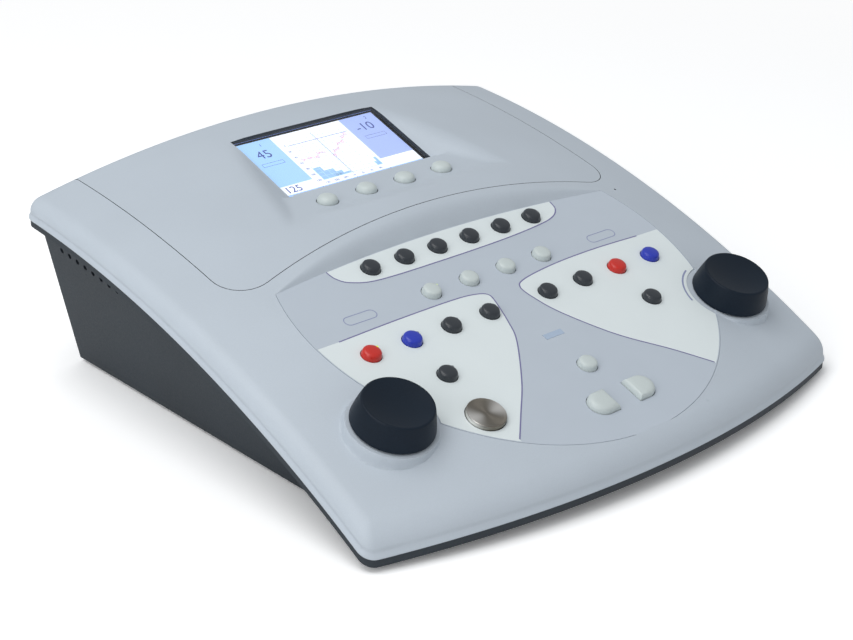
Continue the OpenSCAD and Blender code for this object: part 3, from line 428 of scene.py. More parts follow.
key_names = {
    "function": [f"function_key_{i}" for i in range(1, 7)],
    "mode": [f"mode_key_{i}" for i in range(1, 5)],
    "left": ["left_input_key", "left_output_key", "left_blue_key", "left_red_key", "left_hold_key"],
    "right": ["right_input_key", "right_output_key", "right_red_key", "right_blue_key", "right_hold_key"],
    "plain": ["store_key"],
}


def key_place(node):
    """A panel key's middle, at x and up the slope, from its CAD solid."""
    middle, start = [to_panel(sum(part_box(n), Vector()) / 2 / MM) for n in (node, "store_key")]
    return middle.x, middle.y - start.y


key_hole_r = 6.25
disc_hole_r = 11.6
round_keys = [key_place(n) for names in key_names.values() for n in names]
disc_place = key_place("interrupter_key")
mic_place = (141.5, 1.0)
mic_hole_r = 0.8

frequency_half, frequency_in, frequency_s = 8.0, 8.0, -28.0


def half_round(side, grow=0.0):
    """Outline of a frequency key: a half round with its flat side to the middle."""
    half = frequency_half + grow
    middle = frequency_in + frequency_half
    arc = [(middle + half * sin(a), frequency_s - half * cos(a)) for a in (i * pi / 20 for i in range(21))]
    points = [(frequency_in - grow, frequency_s + half), (frequency_in - grow, frequency_s - half)] + arc
    return [(side * x, s) for x, s in (points if side > 0 else points[::-1])]


cover = Shell()
loops = [lifted(outline(inset), depth) for inset, depth in edge_profile]
skirt_depth = 8.0
back_strip = 14
back_x = seam_x + seam_half
count = len(loops[0])
for upper, lower in zip(loops, loops[1:]):
    first = len(cover.points)
    cover.points += upper + lower
    for i in range(count):
        j = (i + 1) % count
        under_pod = all(abs(x) < back_x + 0.01 and y > back_y - back_strip
                        for x, y, _ in (upper[i], upper[j]))
        if under_pod and crown_height(lower[i][0], lower[i][1]) - lower[i][2] < skirt_depth + 0.3:
            continue
        cover.faces.append((first + i, first + count + i, first + count + j, first + j))
        cover.marks.append(0)

# The boundary of the crowned field: the edge line, and the seam of the display cover
edge_line = outline(edge_profile[0][0])
start = next(i for i, p in enumerate(edge_line) if p[0] > seam_x)
end = len(edge_line) - start
seam = seam_line(-seam_half)
crown_edge = [to_panel((x, y, crown_height(x, y))) for x, y in edge_line[start:end + 1] + seam[-2:0:-1]]

# Lines that the surface turns on: the rim of the panel, the arch wall, the bosses
rim_lines = []
for r in (rim_r, rim_r - 0.12):
    rim_lines.append([(r * sin(a), panel_mid - r * cos(a)) for a in (i * pi / 150 for i in range(-150, 151))
                      if panel_mid - r * cos(a) < arch_foot(r * sin(a)) - 0.3])
arch_ends = rim_lines[0][-1][0] - 2
arch_lines = []
for part in (0, 0.3, 0.55, 0.72, 0.84, 0.93, 1.0, 1.08, 1.18, 1.32, 1.5):
    line = []
    for i in range(-46, 47):
        x = arch_ends * i / 46
        foot, top = arch_foot(x), arch_top(x)
        line.append((x, foot - arch_lean * overlay_t + (top - foot + arch_lean * overlay_t) * part))
    arch_lines.append(line)
dots = [(x, s) for x in np.arange(-183, 184, 3.1) for s in np.arange(-75, 295, 3.1)]
for side in (-1, 1):
    for r in (24.0, 24.8, 25.3, 25.7, 26.1, 26.5, 26.9, 27.3, 27.8, 28.4, 29.2, 30.4, 32.0):
        dots += [p for p in circle(side * knob_x, knob_up, r, 110)
                 if hypot(p[0], p[1] - panel_mid) > rim_r + 0.3]
holes = [circle(x, s, key_hole_r) for x, s in round_keys] + [circle(*disc_place, disc_hole_r, 48)]
holes += [half_round(side, 0.4) for side in (-1, 1)]
holes += [circle(*to_panel((*mic_place, crown_height(*mic_place)))[:2], mic_hole_r, 16)]
flat, faces = lay_sheet([tuple(p[:2]) for p in crown_edge], holes, rim_lines + arch_lines, dots, clear=0.35)
cover.sheet([tuple(on_panel @ Vector((x, s, cover_height(x, s)))) for x, s in flat], faces)
# Depth of the wall that shows in each hole and along the seam, in painted shade (material 1)
for hole in holes:
    rims = [on_panel @ Vector((x, s, cover_height(x, s))) for x, s in hole]
    cover.band(rims, [on_panel @ (on_panel.inverted() @ p - Vector((0, 0, 2.5))) for p in rims], mark=1)
cover.band(lifted(seam, 0), lifted(seam, 2.5), closed=False, mark=1)
top_cover = cover.build("top_cover_shell", [cover_abs, painted_shade_abs])
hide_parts("top_cover")
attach(top_cover, "console")

# ---------------------------------------------------------------- display cover
# A second ABS moulding inside a thin seam. It carries the sunken display, whose
# sides run out softly into the crown, and the ledge with the four soft keys.
display_tilt, display_y, display_z = radians(19.5), 141.5, 129.6
opening_half_w, opening_h = 56.5, 65.5
ledge_tilt, ledge_y, ledge_z = radians(5), 59.5, 109.7
ramp_y, ramp_tilt = 50.5, radians(13)
step_y, step_w = 77.7, 0.8
facet_points = [(56.5, 141.5, 129.6), (56.5, 82.5, 108.7), (78.5, 59.5, 112.5)]
soft_hole_r = 6.9
on_display = Matrix.Translation((0, display_y, display_z)) @ Matrix.Rotation(display_tilt, 4, "X")
on_ledge = Matrix.Translation((0, ledge_y, ledge_z)) @ Matrix.Rotation(ledge_tilt, 4, "X")
facet_a, facet_b, facet_c = [Vector(p) for p in facet_points]
facet_normal = (facet_b - facet_a).cross(facet_c - facet_a)


def facet_height(x, y):
    """The slanting side of the recess, on the side where x is positive."""
    return facet_a.z - (facet_normal.x * (x - facet_a.x) + facet_normal.y * (y - facet_a.y)) / facet_normal.z


def display_height(x, y):
    """The display cover's surface, seen from above."""
    crown = crown_height(x, y)
    slope = display_z + (y - display_y) * tan(display_tilt)
    ledge = ledge_z + (y - ledge_y) * tan(ledge_tilt)
    ramp = ledge_z + (ramp_y - ledge_y) * tan(ledge_tilt) + (ramp_y - y) * tan(ramp_tilt)
    front = soft_max(ledge, ramp, 1.2)
    part = min(max((step_y + step_w - y) / step_w, 0), 1)
    base = slope + (front - slope) * part
    sides = soft_max(facet_height(abs(x), y), base, 1.6)
    near = min(max((abs(x) - 48) / 18, 0), 1)
    return soft_min(crown, sides, 0.9 + 3.2 * near)


def pod_back(line):
    """The points of a line along the display cover's back edge, from left to right."""
    return sorted(p for p in line if abs(p[0]) < seam_x - seam_half + 0.01 and p[1] > back_y - back_strip)


pod = Shell()
inner_seam = seam_line(seam_half)
boundary = inner_seam[1:-1] + pod_back(edge_line)
opening = [(s * opening_half_w, display_y + t * cos(display_tilt))
           for s, t in [(-1, -0.3), (1, -0.3), (1, -opening_h), (-1, -opening_h)]]
corners = opening + opening[:1]
opening = [(a[0] + (b[0] - a[0]) * i / 30, a[1] + (b[1] - a[1]) * i / 30)
           for a, b in zip(corners, corners[1:]) for i in range(30)]
soft_places = [((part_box(f"soft_key_{i}")[0].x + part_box(f"soft_key_{i}")[1].x) / 2 / MM, ledge_y)
               for i in range(1, 5)]
soft_holes = [circle(x, y, soft_hole_r, 36) for x, y in soft_places]
step_lines = [[(opening_half_w * i / 20, y) for i in range(-20, 21)] for y in (step_y, step_y + step_w)]
dots = [(x, y) for x in np.arange(-149, 150, 4.2) for y in np.arange(10, 170, 4.2)
        if not (abs(x) < 100 and 30 < y < 160)]
dots += [(x, y) for x in np.arange(-99.4, 100, 1.9) for y in np.arange(31, 160, 1.9)]
flat, faces = lay_sheet(boundary, [opening] + soft_holes, step_lines, dots)
pod.sheet([(x, y, display_height(x, y)) for x, y in flat], faces)
# The walls of the opening, the soft key holes and the seam are in painted shade (material 1)
for hole, deep in [(opening, 3.2)] + [(h, 2.2) for h in soft_holes]:
    rims = [(x, y, display_height(x, y)) for x, y in hole]
    pod.band(rims, [(x, y, z - deep) for x, y, z in rims], mark=1)
pod.band(lifted(inner_seam, 0), lifted(inner_seam, 2.5), closed=False, mark=1)
for (upper_in, upper_d), (lower_in, lower_d) in zip(edge_profile, edge_profile[1:]):
    if lower_d > skirt_depth + 0.2 or lower_in > 2.9 and upper_in < 1:
        break
    pod.band(lifted(pod_back(outline(upper_in)), upper_d),
             lifted(pod_back(outline(lower_in)), lower_d), closed=False)
display_shell = pod.build("display_cover_shell", [cover_abs, painted_shade_abs], sharp=50)
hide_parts("display_cover")
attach(display_shell, "console")

# ---------------------------------------------------------------- display
# A colour liquid-crystal module behind a clear window: black frame, and a lit
# picture of a hearing chart between two level fields. Only numbers are drawn.
picture_w, picture_h, picture_up, picture_deep = 108, 60, -63.4, -2.75
lcd_rows = 3.6


def glow(name, colour, strength=0.62):
    """Lit liquid-crystal colour under clear acrylic: most of its light is its own, with
    rows 1.1 mm apart (pi / 10 of lcd_rows) and a smooth front."""
    material, tree, place = new_material(name)
    rows = add(tree, "ShaderNodeTexWave", {"Vector": place, "Scale": 1 / (lcd_rows * MM)},
               bands_direction="X")
    tint = add(tree, "ShaderNodeMix", {0: rows.outputs["Fac"], 6: toned(colour, 0.96), 7: hex_colour(colour)},
               data_type="RGBA")
    surface(tree, {"Base Color": tint.outputs[2], "Roughness": 0.25, "Specular IOR Level": 0.3,
                   "Emission Color": tint.outputs[2], "Emission Strength": strength})
    return material


glow_names = ["white", "left", "right", "bar", "grid", "cursor", "trace", "bars", "ink", "black", "edge"]
glow_colours = ["#F6F8FC", "#A6CCF2", "#A9B9E9", "#A7C6F0", "#BFE0EA", "#6C6CB4", "#D08AA8", "#9DC0E6",
                "#4A5596", "#0B0D14", "#7A94DC"]
glows = [glow(f"lcd_{n}", c, 0.05 if n == "black" else 0.5) for n, c in zip(glow_names, glow_colours)]
mark_of = {n: i for i, n in enumerate(glow_names)}
picture = Shell()


def picture_point(u, v, lift):
    return tuple(on_display @ Vector((u - picture_w / 2, picture_up + v, picture_deep + lift)))


def field(u0, v0, u1, v1, colour, lift=0.0):
    """One flat rectangle of the picture, in millimetres from its lower left corner."""
    points = [picture_point(u, v, lift) for u, v in ((u0, v0), (u1, v0), (u1, v1), (u0, v1))]
    picture.sheet(points, [(0, 1, 2, 3)], mark_of[colour])


def stroke(u0, v0, u1, v1, width, colour, lift=0.06):
    """A thin straight line of the picture."""
    length = hypot(u1 - u0, v1 - v0)
    nu, nv = -(v1 - v0) / length * width / 2, (u1 - u0) / length * width / 2
    points = [picture_point(u, v, lift) for u, v in
              ((u0 + nu, v0 + nv), (u1 + nu, v1 + nv), (u1 - nu, v1 - nv), (u0 - nu, v0 - nv))]
    picture.sheet(points, [(0, 3, 2, 1)], mark_of[colour])


frame_w = 2.3
field(-frame_w, -1.5, picture_w + frame_w, picture_h + 3.2, "black", -0.05)
field(0, 0, picture_w, picture_h, "white")
field(0, 13.5, 25.5, picture_h, "left", 0.03)
field(81, 15, picture_w, picture_h, "right", 0.03)
field(0, 0, picture_w, 5, "bar", 0.03)
field(-frame_w, picture_h + 1.9, picture_w + frame_w, picture_h + 2.9, "edge", 0.03)
for u in (27, 54, 81):
    stroke(u, 0.2, u, 4.8, 0.4, "ink")
chart_left, chart_right, chart_low, chart_high = 32.0, 79.0, 10.0, 55.0
for i in range(12):
    u = chart_left + (chart_right - chart_left) * i / 11
    stroke(u, chart_low, u, chart_high, 0.25, "grid")
for i in range(14):
    v = chart_low + (chart_high - chart_low) * i / 13
    stroke(chart_left, v, chart_right, v, 0.4 if i in (11, 0) else 0.25,
           "cursor" if i == 11 else "grid", 0.07)
for u0, u1, high in ((32, 38, 22.5), (38, 44.8, 18), (44.8, 49, 14.5), (49, 54, 12),
                     (75, 79, 14), (77, 79, 18)):
    field(u0, chart_low, u1, high, "bars", 0.05)
stroke(54.5, chart_low - 1, 54.5, chart_high, 0.35, "cursor", 0.09)
heard = [(32, 32), (37.5, 32.6), (43, 31.5), (46, 35), (50, 34.6)]
masked = [(55, 29), (58, 33.5), (61.5, 34), (64.5, 39), (68.5, 39.5), (72, 44), (75.5, 46)]
for line in (heard, masked):
    for (u0, v0), (u1, v1) in zip(line, line[1:]):
        stroke(u0, v0, u1, v1, 0.3, "trace", 0.1)
    for u, v in line:
        ring = circle(u, v, 1.15, 12)
        for (u0, v0), (u1, v1) in zip(ring, ring[1:] + ring[:1]):
            stroke(u0, v0, u1, v1, 0.3, "trace", 0.11)
label_w, label_h = 16, 3
for u, v in ((4, 34.5), (87, 36)):
    for a, b, c, d in ((0, 0, 1, 0), (0, 1, 1, 1), (0, 0, 0, 1), (1, 0, 1, 1)):
        stroke(u + a * label_w, v + b * label_h, u + c * label_w, v + d * label_h, 0.25, "ink")


def numerals(label, u, v, size, colour="ink"):
    """Sets a number into the picture, size being the height of its digits."""
    data = bpy.data.curves.new("number", "FONT")
    data.body = label
    data.size = size / 0.7
    data.resolution_u = 3
    holder = bpy.data.objects.new("number", data)
    scene.collection.objects.link(holder)
    bpy.context.view_layer.update()
    shape = bpy.data.meshes.new_from_object(holder.evaluated_get(bpy.context.evaluated_depsgraph_get()))
    picture.sheet([picture_point(u + p.co.x, v + p.co.y, 0.12) for p in shape.vertices],
                  [tuple(f.vertices) for f in shape.polygons], mark_of[colour])
    bpy.data.objects.remove(holder)
    bpy.data.curves.remove(data)
    bpy.data.meshes.remove(shape)


numerals("45", 6.5, 42.5, 7.6)
numerals("-10", 86.5, 44.5, 7.6)
numerals("1", 14.5, 54, 2.6)
numerals("2", 99.5, 55, 2.6)
numerals("125", 1.6, 6.4, 5.8)
for i, label in enumerate(("0", "20", "40", "60", "80", "100", "120")):
    numerals(label, 30.6 - 1.25 * len(label), chart_high - 7.0 - i * 6.35, 1.7)
for i, label in enumerate(("125", "250", "500", "1k", "2k", "4k", "8k")):
    numerals(label, 31 + i * 7.1, 6.3, 1.7)
lcd = picture.build("display_picture", glows, weld=0.0001)
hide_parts("display_module")
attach(lcd, "console")

# ---------------------------------------------------------------- panel print
# A polyester overlay, screen-printed from behind: lavender grey ground, pale
# zones that group the keys, thin violet lines. Places that held words stay bare.
print_gap = 0.04


def printed(name, colour, gloss=0.35):
    """Printed polyester film: an even satin face whose fine emboss (0.8 mm) breaks up
    reflections, with a faint unevenness of the ink."""
    material, tree, place = new_material(name)
    ink = noise(tree, place, 25)
    tint = add(tree, "ShaderNodeMix", {0: ink.outputs["Fac"], 6: toned(colour, 0.96), 7: hex_colour(colour)},
               data_type="RGBA")
    bump = bumped(tree, noise(tree, place, 0.8, 1.0), 0.3, 0.02)
    surface(tree, {"Base Color": tint.outputs[2], "Roughness": 0.42, "Specular IOR Level": gloss,
                   "Normal": bump.outputs[0]})
    return material


def finish(material, *nodes):
    """Gives CAD nodes their material."""
    for name in nodes:
        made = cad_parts[name]
        if not made.material_slots:
            made.data.materials.append(material)
        for place in made.material_slots:
            place.material = material


overlay_film = printed("lavender_printed_film", "#BAC3CD")
zone_film = printed("pale_printed_film", "#DDE5E6")
line_ink = printed("violet_printed_line", "#77749E")
mark_ink = printed("grey_printed_line", "#8C93B4")
finish(overlay_film, "panel_overlay")


def curve_through(points, steps=8):
    """A smooth line through the points."""
    ends = [points[0]] + list(points) + [points[-1]]
    line = []
    for p0, p1, p2, p3 in zip(ends, ends[1:], ends[2:], ends[3:]):
        for i in range(steps):
            t = i / steps
            line.append(tuple(0.5 * (2 * b + (c - a) * t + (2 * a - 5 * b + 4 * c - d) * t * t
                                     + (3 * b - a - 3 * c + d) * t**3) for a, b, c, d in zip(p0, p1, p2, p3)))
    return line + [points[-1]]


film_r = rim_r - 0.9


def rim_run(s0, s1, side, count=14):
    """Points along the overlay's round edge between two places up the slope."""
    return [(side * sqrt(film_r**2 - (s - panel_mid)**2), s)
            for s in (s0 + (s1 - s0) * i / count for i in range(count + 1))]


light_x, light_up, light_r = 7.3, 4.2, 0.8
light_places = [(x + light_x, s + light_up) for names in ("mode", "left", "right")
                for x, s in [key_place(n) for n in key_names[names]]]
overlay_holes = [circle(x, s, key_hole_r) for x, s in round_keys] + [circle(*disc_place, disc_hole_r, 48)]
overlay_holes += [circle(x, s, 1.0, 12) for x, s in light_places]
overlay_holes += [circle(side * knob_x, knob_up, boss_r + 1.2, 96) for side in (-1, 1)]
left_top = curve_through([(-120, 74.9), (-80, 76.3), (-37.4, 76.7), (-20, 75.2), (-12.6, 71.5), (-13.2, 64)])
left_side = curve_through([(-13.2, 64), (-18, 48), (-24.6, 33.2), (-45.5, 5.5), (-63, -13.3), (-77.5, -28.6)])
right_side = curve_through([(74.5, -31.5), (58.2, -11.8), (35.6, 12.7), (17.4, 41.9), (11, 60), (9.8, 68)])
right_top = curve_through([(9.8, 68), (13, 72.5), (26, 75.6), (51.2, 78.0), (83, 78.5), (116.5, 77.2)])
lens_low = curve_through([(-90, 126.4), (-88.5, 119.5), (-82, 113.2), (-64, 108.6), (-15, 107.9), (32, 108.7),
                          (64, 111), (78, 114), (85, 119.5), (86.6, 126.4)])
left_zone = left_top[:-1] + left_side + rim_run(-30.4, 74.8, -1, 60)
right_zone = right_side[:-1] + right_top + rim_run(76.9, -32.5, 1, 60)
lens_zone = lens_low + [(x, arch_foot(x) - 0.5) for x in np.arange(86, -90, -4)]


def film_sheet(shape, lift, loop, holes, mark):
    flat, faces = lay_sheet(loop, holes, [], [])
    shape.sheet([tuple(on_panel @ Vector((x, s, lift))) for x, s in flat], faces, mark)


def film_line(shape, points, width, lift, mark, closed=False):
    """A printed line of one width along the points."""
    n = len(points)
    outer, inner = [], []
    for i in range(n):
        a = Vector(points[i - 1] if closed or i else points[0])
        b = Vector(points[(i + 1) % n] if closed or i < n - 1 else points[-1])
        along = (b - a).normalized()
        side = Vector((-along.y, along.x)) * width / 2
        outer.append(tuple(on_panel @ Vector((*(Vector(points[i]) + side), lift))))
        inner.append(tuple(on_panel @ Vector((*(Vector(points[i]) - side), lift))))
    shape.band(inner, outer, closed=closed, mark=mark)


art = Shell()
for zone in (left_zone, right_zone, lens_zone):
    film_sheet(art, print_gap, zone, overlay_holes, 0)
for line in (lens_low, left_top + left_side[1:], right_side + right_top[1:]):
    film_line(art, line, 0.8, 2 * print_gap, 1)
pill_half, pill_r = 11.0, 3.3
for x, s in ((-96, 86.6), (94, 86.5)):
    pill = [(x + side * (pill_half - pill_r) + side * pill_r * sin(a), s - side * pill_r * cos(a))
            for side in (1, -1) for a in (i * pi / 12 for i in range(13))]
    film_line(art, pill, 0.55, print_gap, 2, closed=True)
turn_mark_r = 29.2
for side in (-1, 1):
    turn_mark = [(side * (knob_x + turn_mark_r * cos(a)), knob_up + turn_mark_r * sin(a))
                 for a in map(radians, np.linspace(112, 172, 16))]
    film_line(art, turn_mark, 1.1, 2.5 * print_gap, 2)
panel_art = art.build("panel_print", [zone_film, line_ink, mark_ink], weld=0.0005)
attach(panel_art, "console")

# ---------------------------------------------------------------- round keys
# Caps moulded in polycarbonate, each on a collar that holds it under the panel.
# They are low, slightly domed and a little glossier than the shell.
collar_low, collar_t, collar_r = -4.6, 1.3, 7.2
collar_top = collar_low + collar_t
key_profile = [(0, 4.0), (1.6, 3.97), (3.0, 3.85), (4.0, 3.66), (4.7, 3.38), (5.15, 2.98), (5.4, 2.45),
               (5.6, 1.5), (5.9, 0.2), (5.9, collar_top), (collar_r, collar_top),
               (collar_r, collar_low), (0, collar_low)]


def turned(name, profile, place, materials, count=48, sharp=40, marks=None):
    """A round piece turned about its own Z from a profile of (radius, height)."""
    points, faces, mark_list = [], [], []
    rings = []
    for r, z in profile:
        if r == 0:
            rings.append([len(points)])
            points.append((0, 0, z))
        else:
            rings.append(list(range(len(points), len(points) + count)))
            points += [(r * cos(2 * pi * i / count), r * sin(2 * pi * i / count), z) for i in range(count)]
    for k, (a, b) in enumerate(zip(rings, rings[1:])):
        for i in range(count):
            j = (i + 1) % count
            face = list(dict.fromkeys((a[i % len(a)], b[i % len(b)], b[j % len(b)], a[j % len(a)])))
            if len(face) > 2:
                faces.append(tuple(face))
                mark_list.append(marks[k] if marks else 0)
    made = mesh_object(name, points, faces, materials, marks=mark_list)
    turn = place.to_quaternion().to_matrix().to_4x4()
    made.matrix_world = Matrix.Translation(place.translation * MM) @ turn
    made.data.shade_smooth()
    made.data.set_sharp_from_angle(angle=radians(sharp))
    return made


# Polycarbonate caps from a lightly blasted mould: satin, with a clear highlight
key_black = moulded("black_pc_cap", "#2B3036", 0.5, 0.34, 0.012, mottle=0.06, gloss=0.5)
key_grey = moulded("pale_grey_pc_cap", "#C3CCCB", 0.5, 0.4, 0.012, mottle=0.03)
key_red = moulded("red_pc_cap", "#C4281E", 0.5, 0.32, 0.012, mottle=0.05)
key_blue = moulded("blue_pc_cap", "#2436AE", 0.5, 0.32, 0.012, mottle=0.05)
cap_of = {"function": (key_black, "key_black"), "mode": (key_grey, "key_grey"),
          "plain": (key_grey, "key_grey")}
for group, names in key_names.items():
    for node in names:
        cap, slot_name = cap_of.get(group, (key_black, "key_black"))
        if "red" in node:
            cap, slot_name = key_red, "key_red"
        if "blue" in node:
            cap, slot_name = key_blue, "key_blue"
        x, s = key_place(node)
        piece = turned(f"{node}_cap", key_profile, on_panel @ Matrix.Translation((x, s, 0)), [cap])
        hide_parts(node)
        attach(piece, f"{node}_body")

# ---------------------------------------------------------------- soft keys
# Four taller domes of the same grey polycarbonate on the ledge under the display.
soft_profile = [(0, 4.3), (1.7, 4.24), (3.2, 4.02), (4.4, 3.62), (5.35, 3.02), (6.0, 2.2), (6.35, 1.2),
                (6.5, 0.1), (6.5, -2.5), (7.8, -2.5), (7.8, -3.8), (0, -3.8)]
for i, (x, y) in enumerate(soft_places, 1):
    piece = turned(f"soft_key_{i}_cap", soft_profile, on_ledge @ Matrix.Translation((x, 0, 0)), [key_grey])
    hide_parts(f"soft_key_{i}")
    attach(piece, f"soft_key_{i}_body")

# ---------------------------------------------------------------- frequency keys
# Two half rounds, flat sides to the middle, domed towards their outer ends.
half_rows = [(1.3, collar_low), (1.3, collar_top), (0, collar_top), (0, 0.4), (-0.25, 1.7),
             (-0.8, 2.7), (-1.7, 3.4), (-3.0, 3.82), (-4.6, 4.0)]
for side, node in ((-1, "frequency_down_key"), (1, "frequency_up_key")):
    shape = Shell()
    rows = [[tuple(on_panel @ Vector((x, s, w))) for x, s in half_round(side, grow)]
            for grow, w in half_rows]
    for lower, upper in zip(rows, rows[1:]):
        shape.band(upper, lower)
    shape.sheet(rows[-1], [tuple(range(len(rows[-1])))])
    shape.sheet(rows[0], [tuple(reversed(range(len(rows[0]))))])
    piece = shape.build(f"{node}_cap", [key_grey], sharp=45, weld=0.001)
    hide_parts(node)
    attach(piece, f"{node}_body")

# ---------------------------------------------------------------- interrupter
# A disc of stainless steel, spun and left with its turning lines. Its two bright fans of
# reflection are painted into its colour, over its real anisotropic highlight. It is bonded to a key body
# below the panel.
spun_steel, tree, place = new_material("spun_stainless_steel")
# Turning lines 0.85 mm apart: pi / 10 of this
turning_step = 2.7
turning = add(tree, "ShaderNodeTexWave", {"Vector": place, "Scale": 1 / (turning_step * MM),
                                          "Distortion": 1.5, "Detail": 2.0},
              wave_type="RINGS", rings_direction="Z")
# Painted reflection: the colour turns pale in two fans along the disc's own X axis
spoke = add(tree, "ShaderNodeVectorMath", {0: place}, operation="NORMALIZE")
along = add(tree, "ShaderNodeSeparateXYZ", {0: spoke.outputs[0]})
aside = add(tree, "ShaderNodeMath", {0: along.outputs["X"]}, operation="ABSOLUTE")
painted_fan = add(tree, "ShaderNodeMath", {0: aside.outputs[0], 1: 5.0}, operation="POWER")
lines = add(tree, "ShaderNodeMapRange", {0: turning.outputs["Fac"], 3: -0.08, 4: 0.08})
painted_fans_and_lines = add(tree, "ShaderNodeMath", {0: painted_fan.outputs[0], 1: lines.outputs[0]}, operation="ADD")
steel_tone_and_painted_fans = add(tree, "ShaderNodeMix", {0: painted_fans_and_lines.outputs[0], 6: hex_colour("#7E786E"),
                                         7: hex_colour("#F6F3EE")}, data_type="RGBA")
steel_bump = bumped(tree, turning, 0.35, 0.01)
around = add(tree, "ShaderNodeTangent", direction_type="RADIAL", axis="Z")
surface(tree, {"Base Color": steel_tone_and_painted_fans.outputs[2], "Metallic": 1.0, "Roughness": 0.28, "Anisotropic": 0.9,
               "Tangent": around.outputs[0], "Normal": steel_bump.outputs[0]})
disc_r, disc_collar_r = 11.25, 12.55
disc_profile = [(0, 2.2), (3, 2.22), (6, 2.32), (9, 2.52), (10.2, 2.66), (10.6, 2.8), (10.95, 2.78),
                (11.15, 2.6), (disc_r, 2.3), (disc_r, collar_top), (disc_collar_r, collar_top),
                (disc_collar_r, collar_low), (0, collar_low)]
piece = turned("interrupter_disc", disc_profile, on_panel @ Matrix.Translation((*disc_place, 0)),
               [spun_steel], count=96, sharp=30)
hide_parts("interrupter_key")
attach(piece, "interrupter_key_body")

# ---------------------------------------------------------------- status lights
# Light guides of clear acrylic in the overlay, one at the upper right of each key.
# Three are lit; the response light is a wide bar of the same kind.


def lens(name, colour, strength):
    """Clear acrylic light guide, polished, with a faint cloud (2 mm) where it scatters."""
    material, tree, place = new_material(name)
    cloud = noise(tree, place, 2)
    tint = add(tree, "ShaderNodeMix", {0: cloud.outputs["Fac"], 6: toned(colour, 0.85),
                                       7: hex_colour(colour)}, data_type="RGBA")
    surface(tree, {"Base Color": tint.outputs[2], "Roughness": 0.15, "Emission Color": tint.outputs[2],
                   "Emission Strength": strength})
    return material


lenses = [lens("milky_acrylic_guide", "#8E979E", 0.0), lens("green_lit_guide", "#D2EA3C", 0.8)]
lit_keys = ("mode_key_1", "left_red_key", "right_blue_key")
lights = Shell()
for node, (x, s) in zip(key_names["mode"] + key_names["left"] + key_names["right"], light_places):
    mark = int(node in lit_keys)
    rings = [[tuple(on_panel @ Vector((px, ps, w))) for px, ps in circle(x, s, r, 20)]
             for r, w in ((light_r, -0.6), (light_r, 0.12), (0.62, 0.3), (0.3, 0.4))]
    for lower, upper in zip(rings, rings[1:]):
        lights.band(lower, upper, mark=mark)
    lights.sheet(rings[-1], [tuple(range(20))], mark)
guides = lights.build("status_light_guides", lenses, weld=0.0005)
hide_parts("status_lights")
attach(guides, "console")
finish(lens("blue_grey_acrylic_bar", "#A9BACF", 0.05), "response_window")

# ---------------------------------------------------------------- level knobs
# Large knobs that narrow upwards, moulded in black thermoplastic with a fine matt
# grain, with a dished top for one finger. Each is pressed on its encoder's shaft.
knob_h, knob_foot_r, knob_dish = 14.8, 23.3, 2.4
dish_r, shoulder_r, shoulder_drop = 18.3, 20.05, 0.9
knob_grain = moulded("black_matt_knob", "#141F2B", 0.6, 0.46, 0.03, mottle=0.25, gloss=0.16)
knob_profile = [(0, knob_h - knob_dish)]
knob_profile += [(dish_r * i / 12, knob_h - 0.12 - (knob_dish - 0.12) * (1 - (i / 12)**2))
                 for i in range(1, 13)]
knob_profile += [(18.7, knob_h - 0.02), (19.1, knob_h), (19.5, knob_h - 0.12), (19.85, knob_h - 0.42),
                 (shoulder_r, knob_h - shoulder_drop)]
knob_profile += [(shoulder_r + (knob_foot_r - shoulder_r) * i / 8 + 0.25 * sin(pi * i / 8),
                  (knob_h - shoulder_drop) * (1 - i / 8) + shoulder_drop * i / 8) for i in range(1, 9)]
knob_profile += [(23.25, 0.45), (23.0, 0.12), (22.6, 0.0), (21.0, 0.0), (20.8, 1.2), (9.0, 1.2), (8.0, 0.4),
                 (3.3, 0.4), (3.3, 3.0), (0, 3.0)]
for side, name in ((-1, "left"), (1, "right")):
    knob_foot = on_panel @ Matrix.Translation((side * knob_x, knob_up, 0))
    piece = turned(f"{name}_knob_cap", knob_profile, knob_foot, [knob_grain], count=128, sharp=50)
    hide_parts(f"{name}_knob")
    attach(piece, f"{name}_dial")

# ---------------------------------------------------------------- lower case
# The tray under the cover: dark slate ABS with a coarser grain, moulded with its
# vent holes and flange. Four round rubber feet are glued under it.
# Partly painted shade: the case is coloured darker than its own dark slate, so that the flange band seen
# under the cover's front lip passes for the shadow there
case_abs_and_shade = moulded("dark_slate_abs_and_painted_shade", "#252E36", 1.1, 0.6, 0.09, mottle=0.12)
foot_rubber = moulded("black_rubber_foot", "#26282A", 0.8, 0.8, 0.05, mottle=0.1, gloss=0.3)
finish(case_abs_and_shade, "lower_case")
finish(foot_rubber, "feet")

# ---------------------------------------------------------------- window
# Clear acrylic over the display: only its reflections show.
clear, tree, place = new_material("clear_acrylic_window")
haze = add(tree, "ShaderNodeMapRange", {0: noise(tree, place, 4).outputs["Fac"], 3: 0.03, 4: 0.08})
through = add(tree, "ShaderNodeBsdfTransparent", {"Color": (0.98, 0.99, 1, 1)})
shine = add(tree, "ShaderNodeBsdfAnisotropic", {"Roughness": haze.outputs[0]})
facing = add(tree, "ShaderNodeLayerWeight", {"Blend": 0.5})
steep = add(tree, "ShaderNodeMath", {0: facing.outputs["Facing"], 1: 5.0}, operation="POWER")
edge_on = add(tree, "ShaderNodeMapRange", {0: steep.outputs[0], 3: 0.04, 4: 1.0})
pane = add(tree, "ShaderNodeMixShader", {"Fac": edge_on.outputs[0], 1: through.outputs[0],
                                         2: shine.outputs[0]})
add(tree, "ShaderNodeOutputMaterial", {"Surface": pane.outputs[0]})
finish(clear, "display_window")

# ---------------------------------------------------------------- rear connectors
# Two anodised aluminium plates in the back wall: one holds six jack sockets, the other
# a USB socket, a mains inlet and a rocker. Sockets are filled nylon, shells are plated.


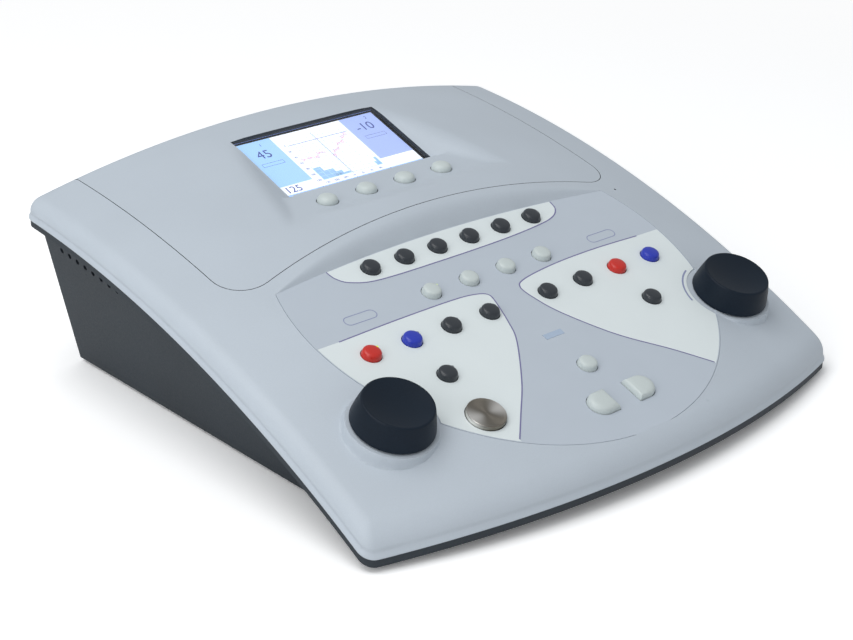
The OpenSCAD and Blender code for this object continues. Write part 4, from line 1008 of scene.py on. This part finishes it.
def metal(name, colour, roughness, grain, stretch=1.0, depth=0.01):
    """Bare or plated metal: a fine grain (mm), drawn out along X where it is brushed."""
    material, tree, place = new_material(name)
    drawn = add(tree, "ShaderNodeMapping", {"Vector": place, "Scale": (1 / stretch, 1, 1)})
    lines = noise(tree, drawn.outputs[0], grain, 3.0)
    tint = add(tree, "ShaderNodeMix", {0: lines.outputs["Fac"], 6: toned(colour, 0.86),
                                       7: hex_colour(colour)}, data_type="RGBA")
    rough = add(tree, "ShaderNodeMapRange", {0: lines.outputs["Fac"], 1: 0.3, 2: 0.7, 3: roughness - 0.07,
                                             4: roughness + 0.07})
    bump = bumped(tree, lines, 0.4, depth)
    surface(tree, {"Base Color": tint.outputs[2], "Metallic": 1.0, "Roughness": rough.outputs[0],
                   "Normal": bump.outputs[0]})
    return material


anodised = metal("dark_anodised_aluminium", "#6B7178", 0.42, 0.6, stretch=18)
nickel = metal("nickel_plated_shell", "#B9B8B2", 0.28, 0.9)
zinc = metal("zinc_plated_steel", "#AEB2B8", 0.36, 1.6)
nylon = moulded("black_filled_nylon", "#202326", 0.7, 0.55, 0.04, mottle=0.15)
rocker_nylon = moulded("black_gloss_nylon", "#17191B", 0.9, 0.28, 0.01, mottle=0.1)
finish(anodised, "jack_plate", "power_plate")
finish(nylon, "jack_sockets", "power_inlet")
finish(nickel, "usb_socket")
finish(rocker_nylon, "power_rocker")
finish(zinc, "plate_screws", "case_screws", "board_screws")

# ---------------------------------------------------------------- inside
# Boards of glass-epoxy laminate with a solder mask, a silicone key mat, encoders in
# turned steel, a folded steel bracket and a cased power module.


def laminate(name, mask, copper):
    """Glass-epoxy board under a solder mask, with tracks (1.5 mm apart) showing through."""
    material, tree, place = new_material(name)
    tracks = add(tree, "ShaderNodeTexBrick", {"Vector": place, "Scale": 1 / (6 * MM), "Mortar Size": 0.06,
                                              "Color1": hex_colour(mask), "Color2": hex_colour(mask),
                                              "Mortar": hex_colour(copper)})
    bump = bumped(tree, tracks, 0.3, 0.03)
    surface(tree, {"Base Color": tracks.outputs["Color"], "Roughness": 0.35, "Normal": bump.outputs[0]})
    return material


board = laminate("green_masked_laminate", "#1F5B3A", "#3F7F55")
silicone = moulded("grey_silicone_mat", "#5F666D", 1.2, 0.7, 0.05, mottle=0.08, gloss=0.35)
cone_paper = moulded("black_speaker_paper", "#2A2A2C", 1.5, 0.85, 0.1, mottle=0.15, gloss=0.2)
finish(board, "key_board", "soft_key_board", "main_board")
finish(silicone, "key_mat")
finish(zinc, "display_bracket", "left_encoder", "right_encoder", "left_shaft", "right_shaft")
finish(metal("folded_steel_case", "#9DA2A8", 0.45, 1.2, stretch=6), "power_module")
finish(cone_paper, "loudspeaker", "talkback_microphone")
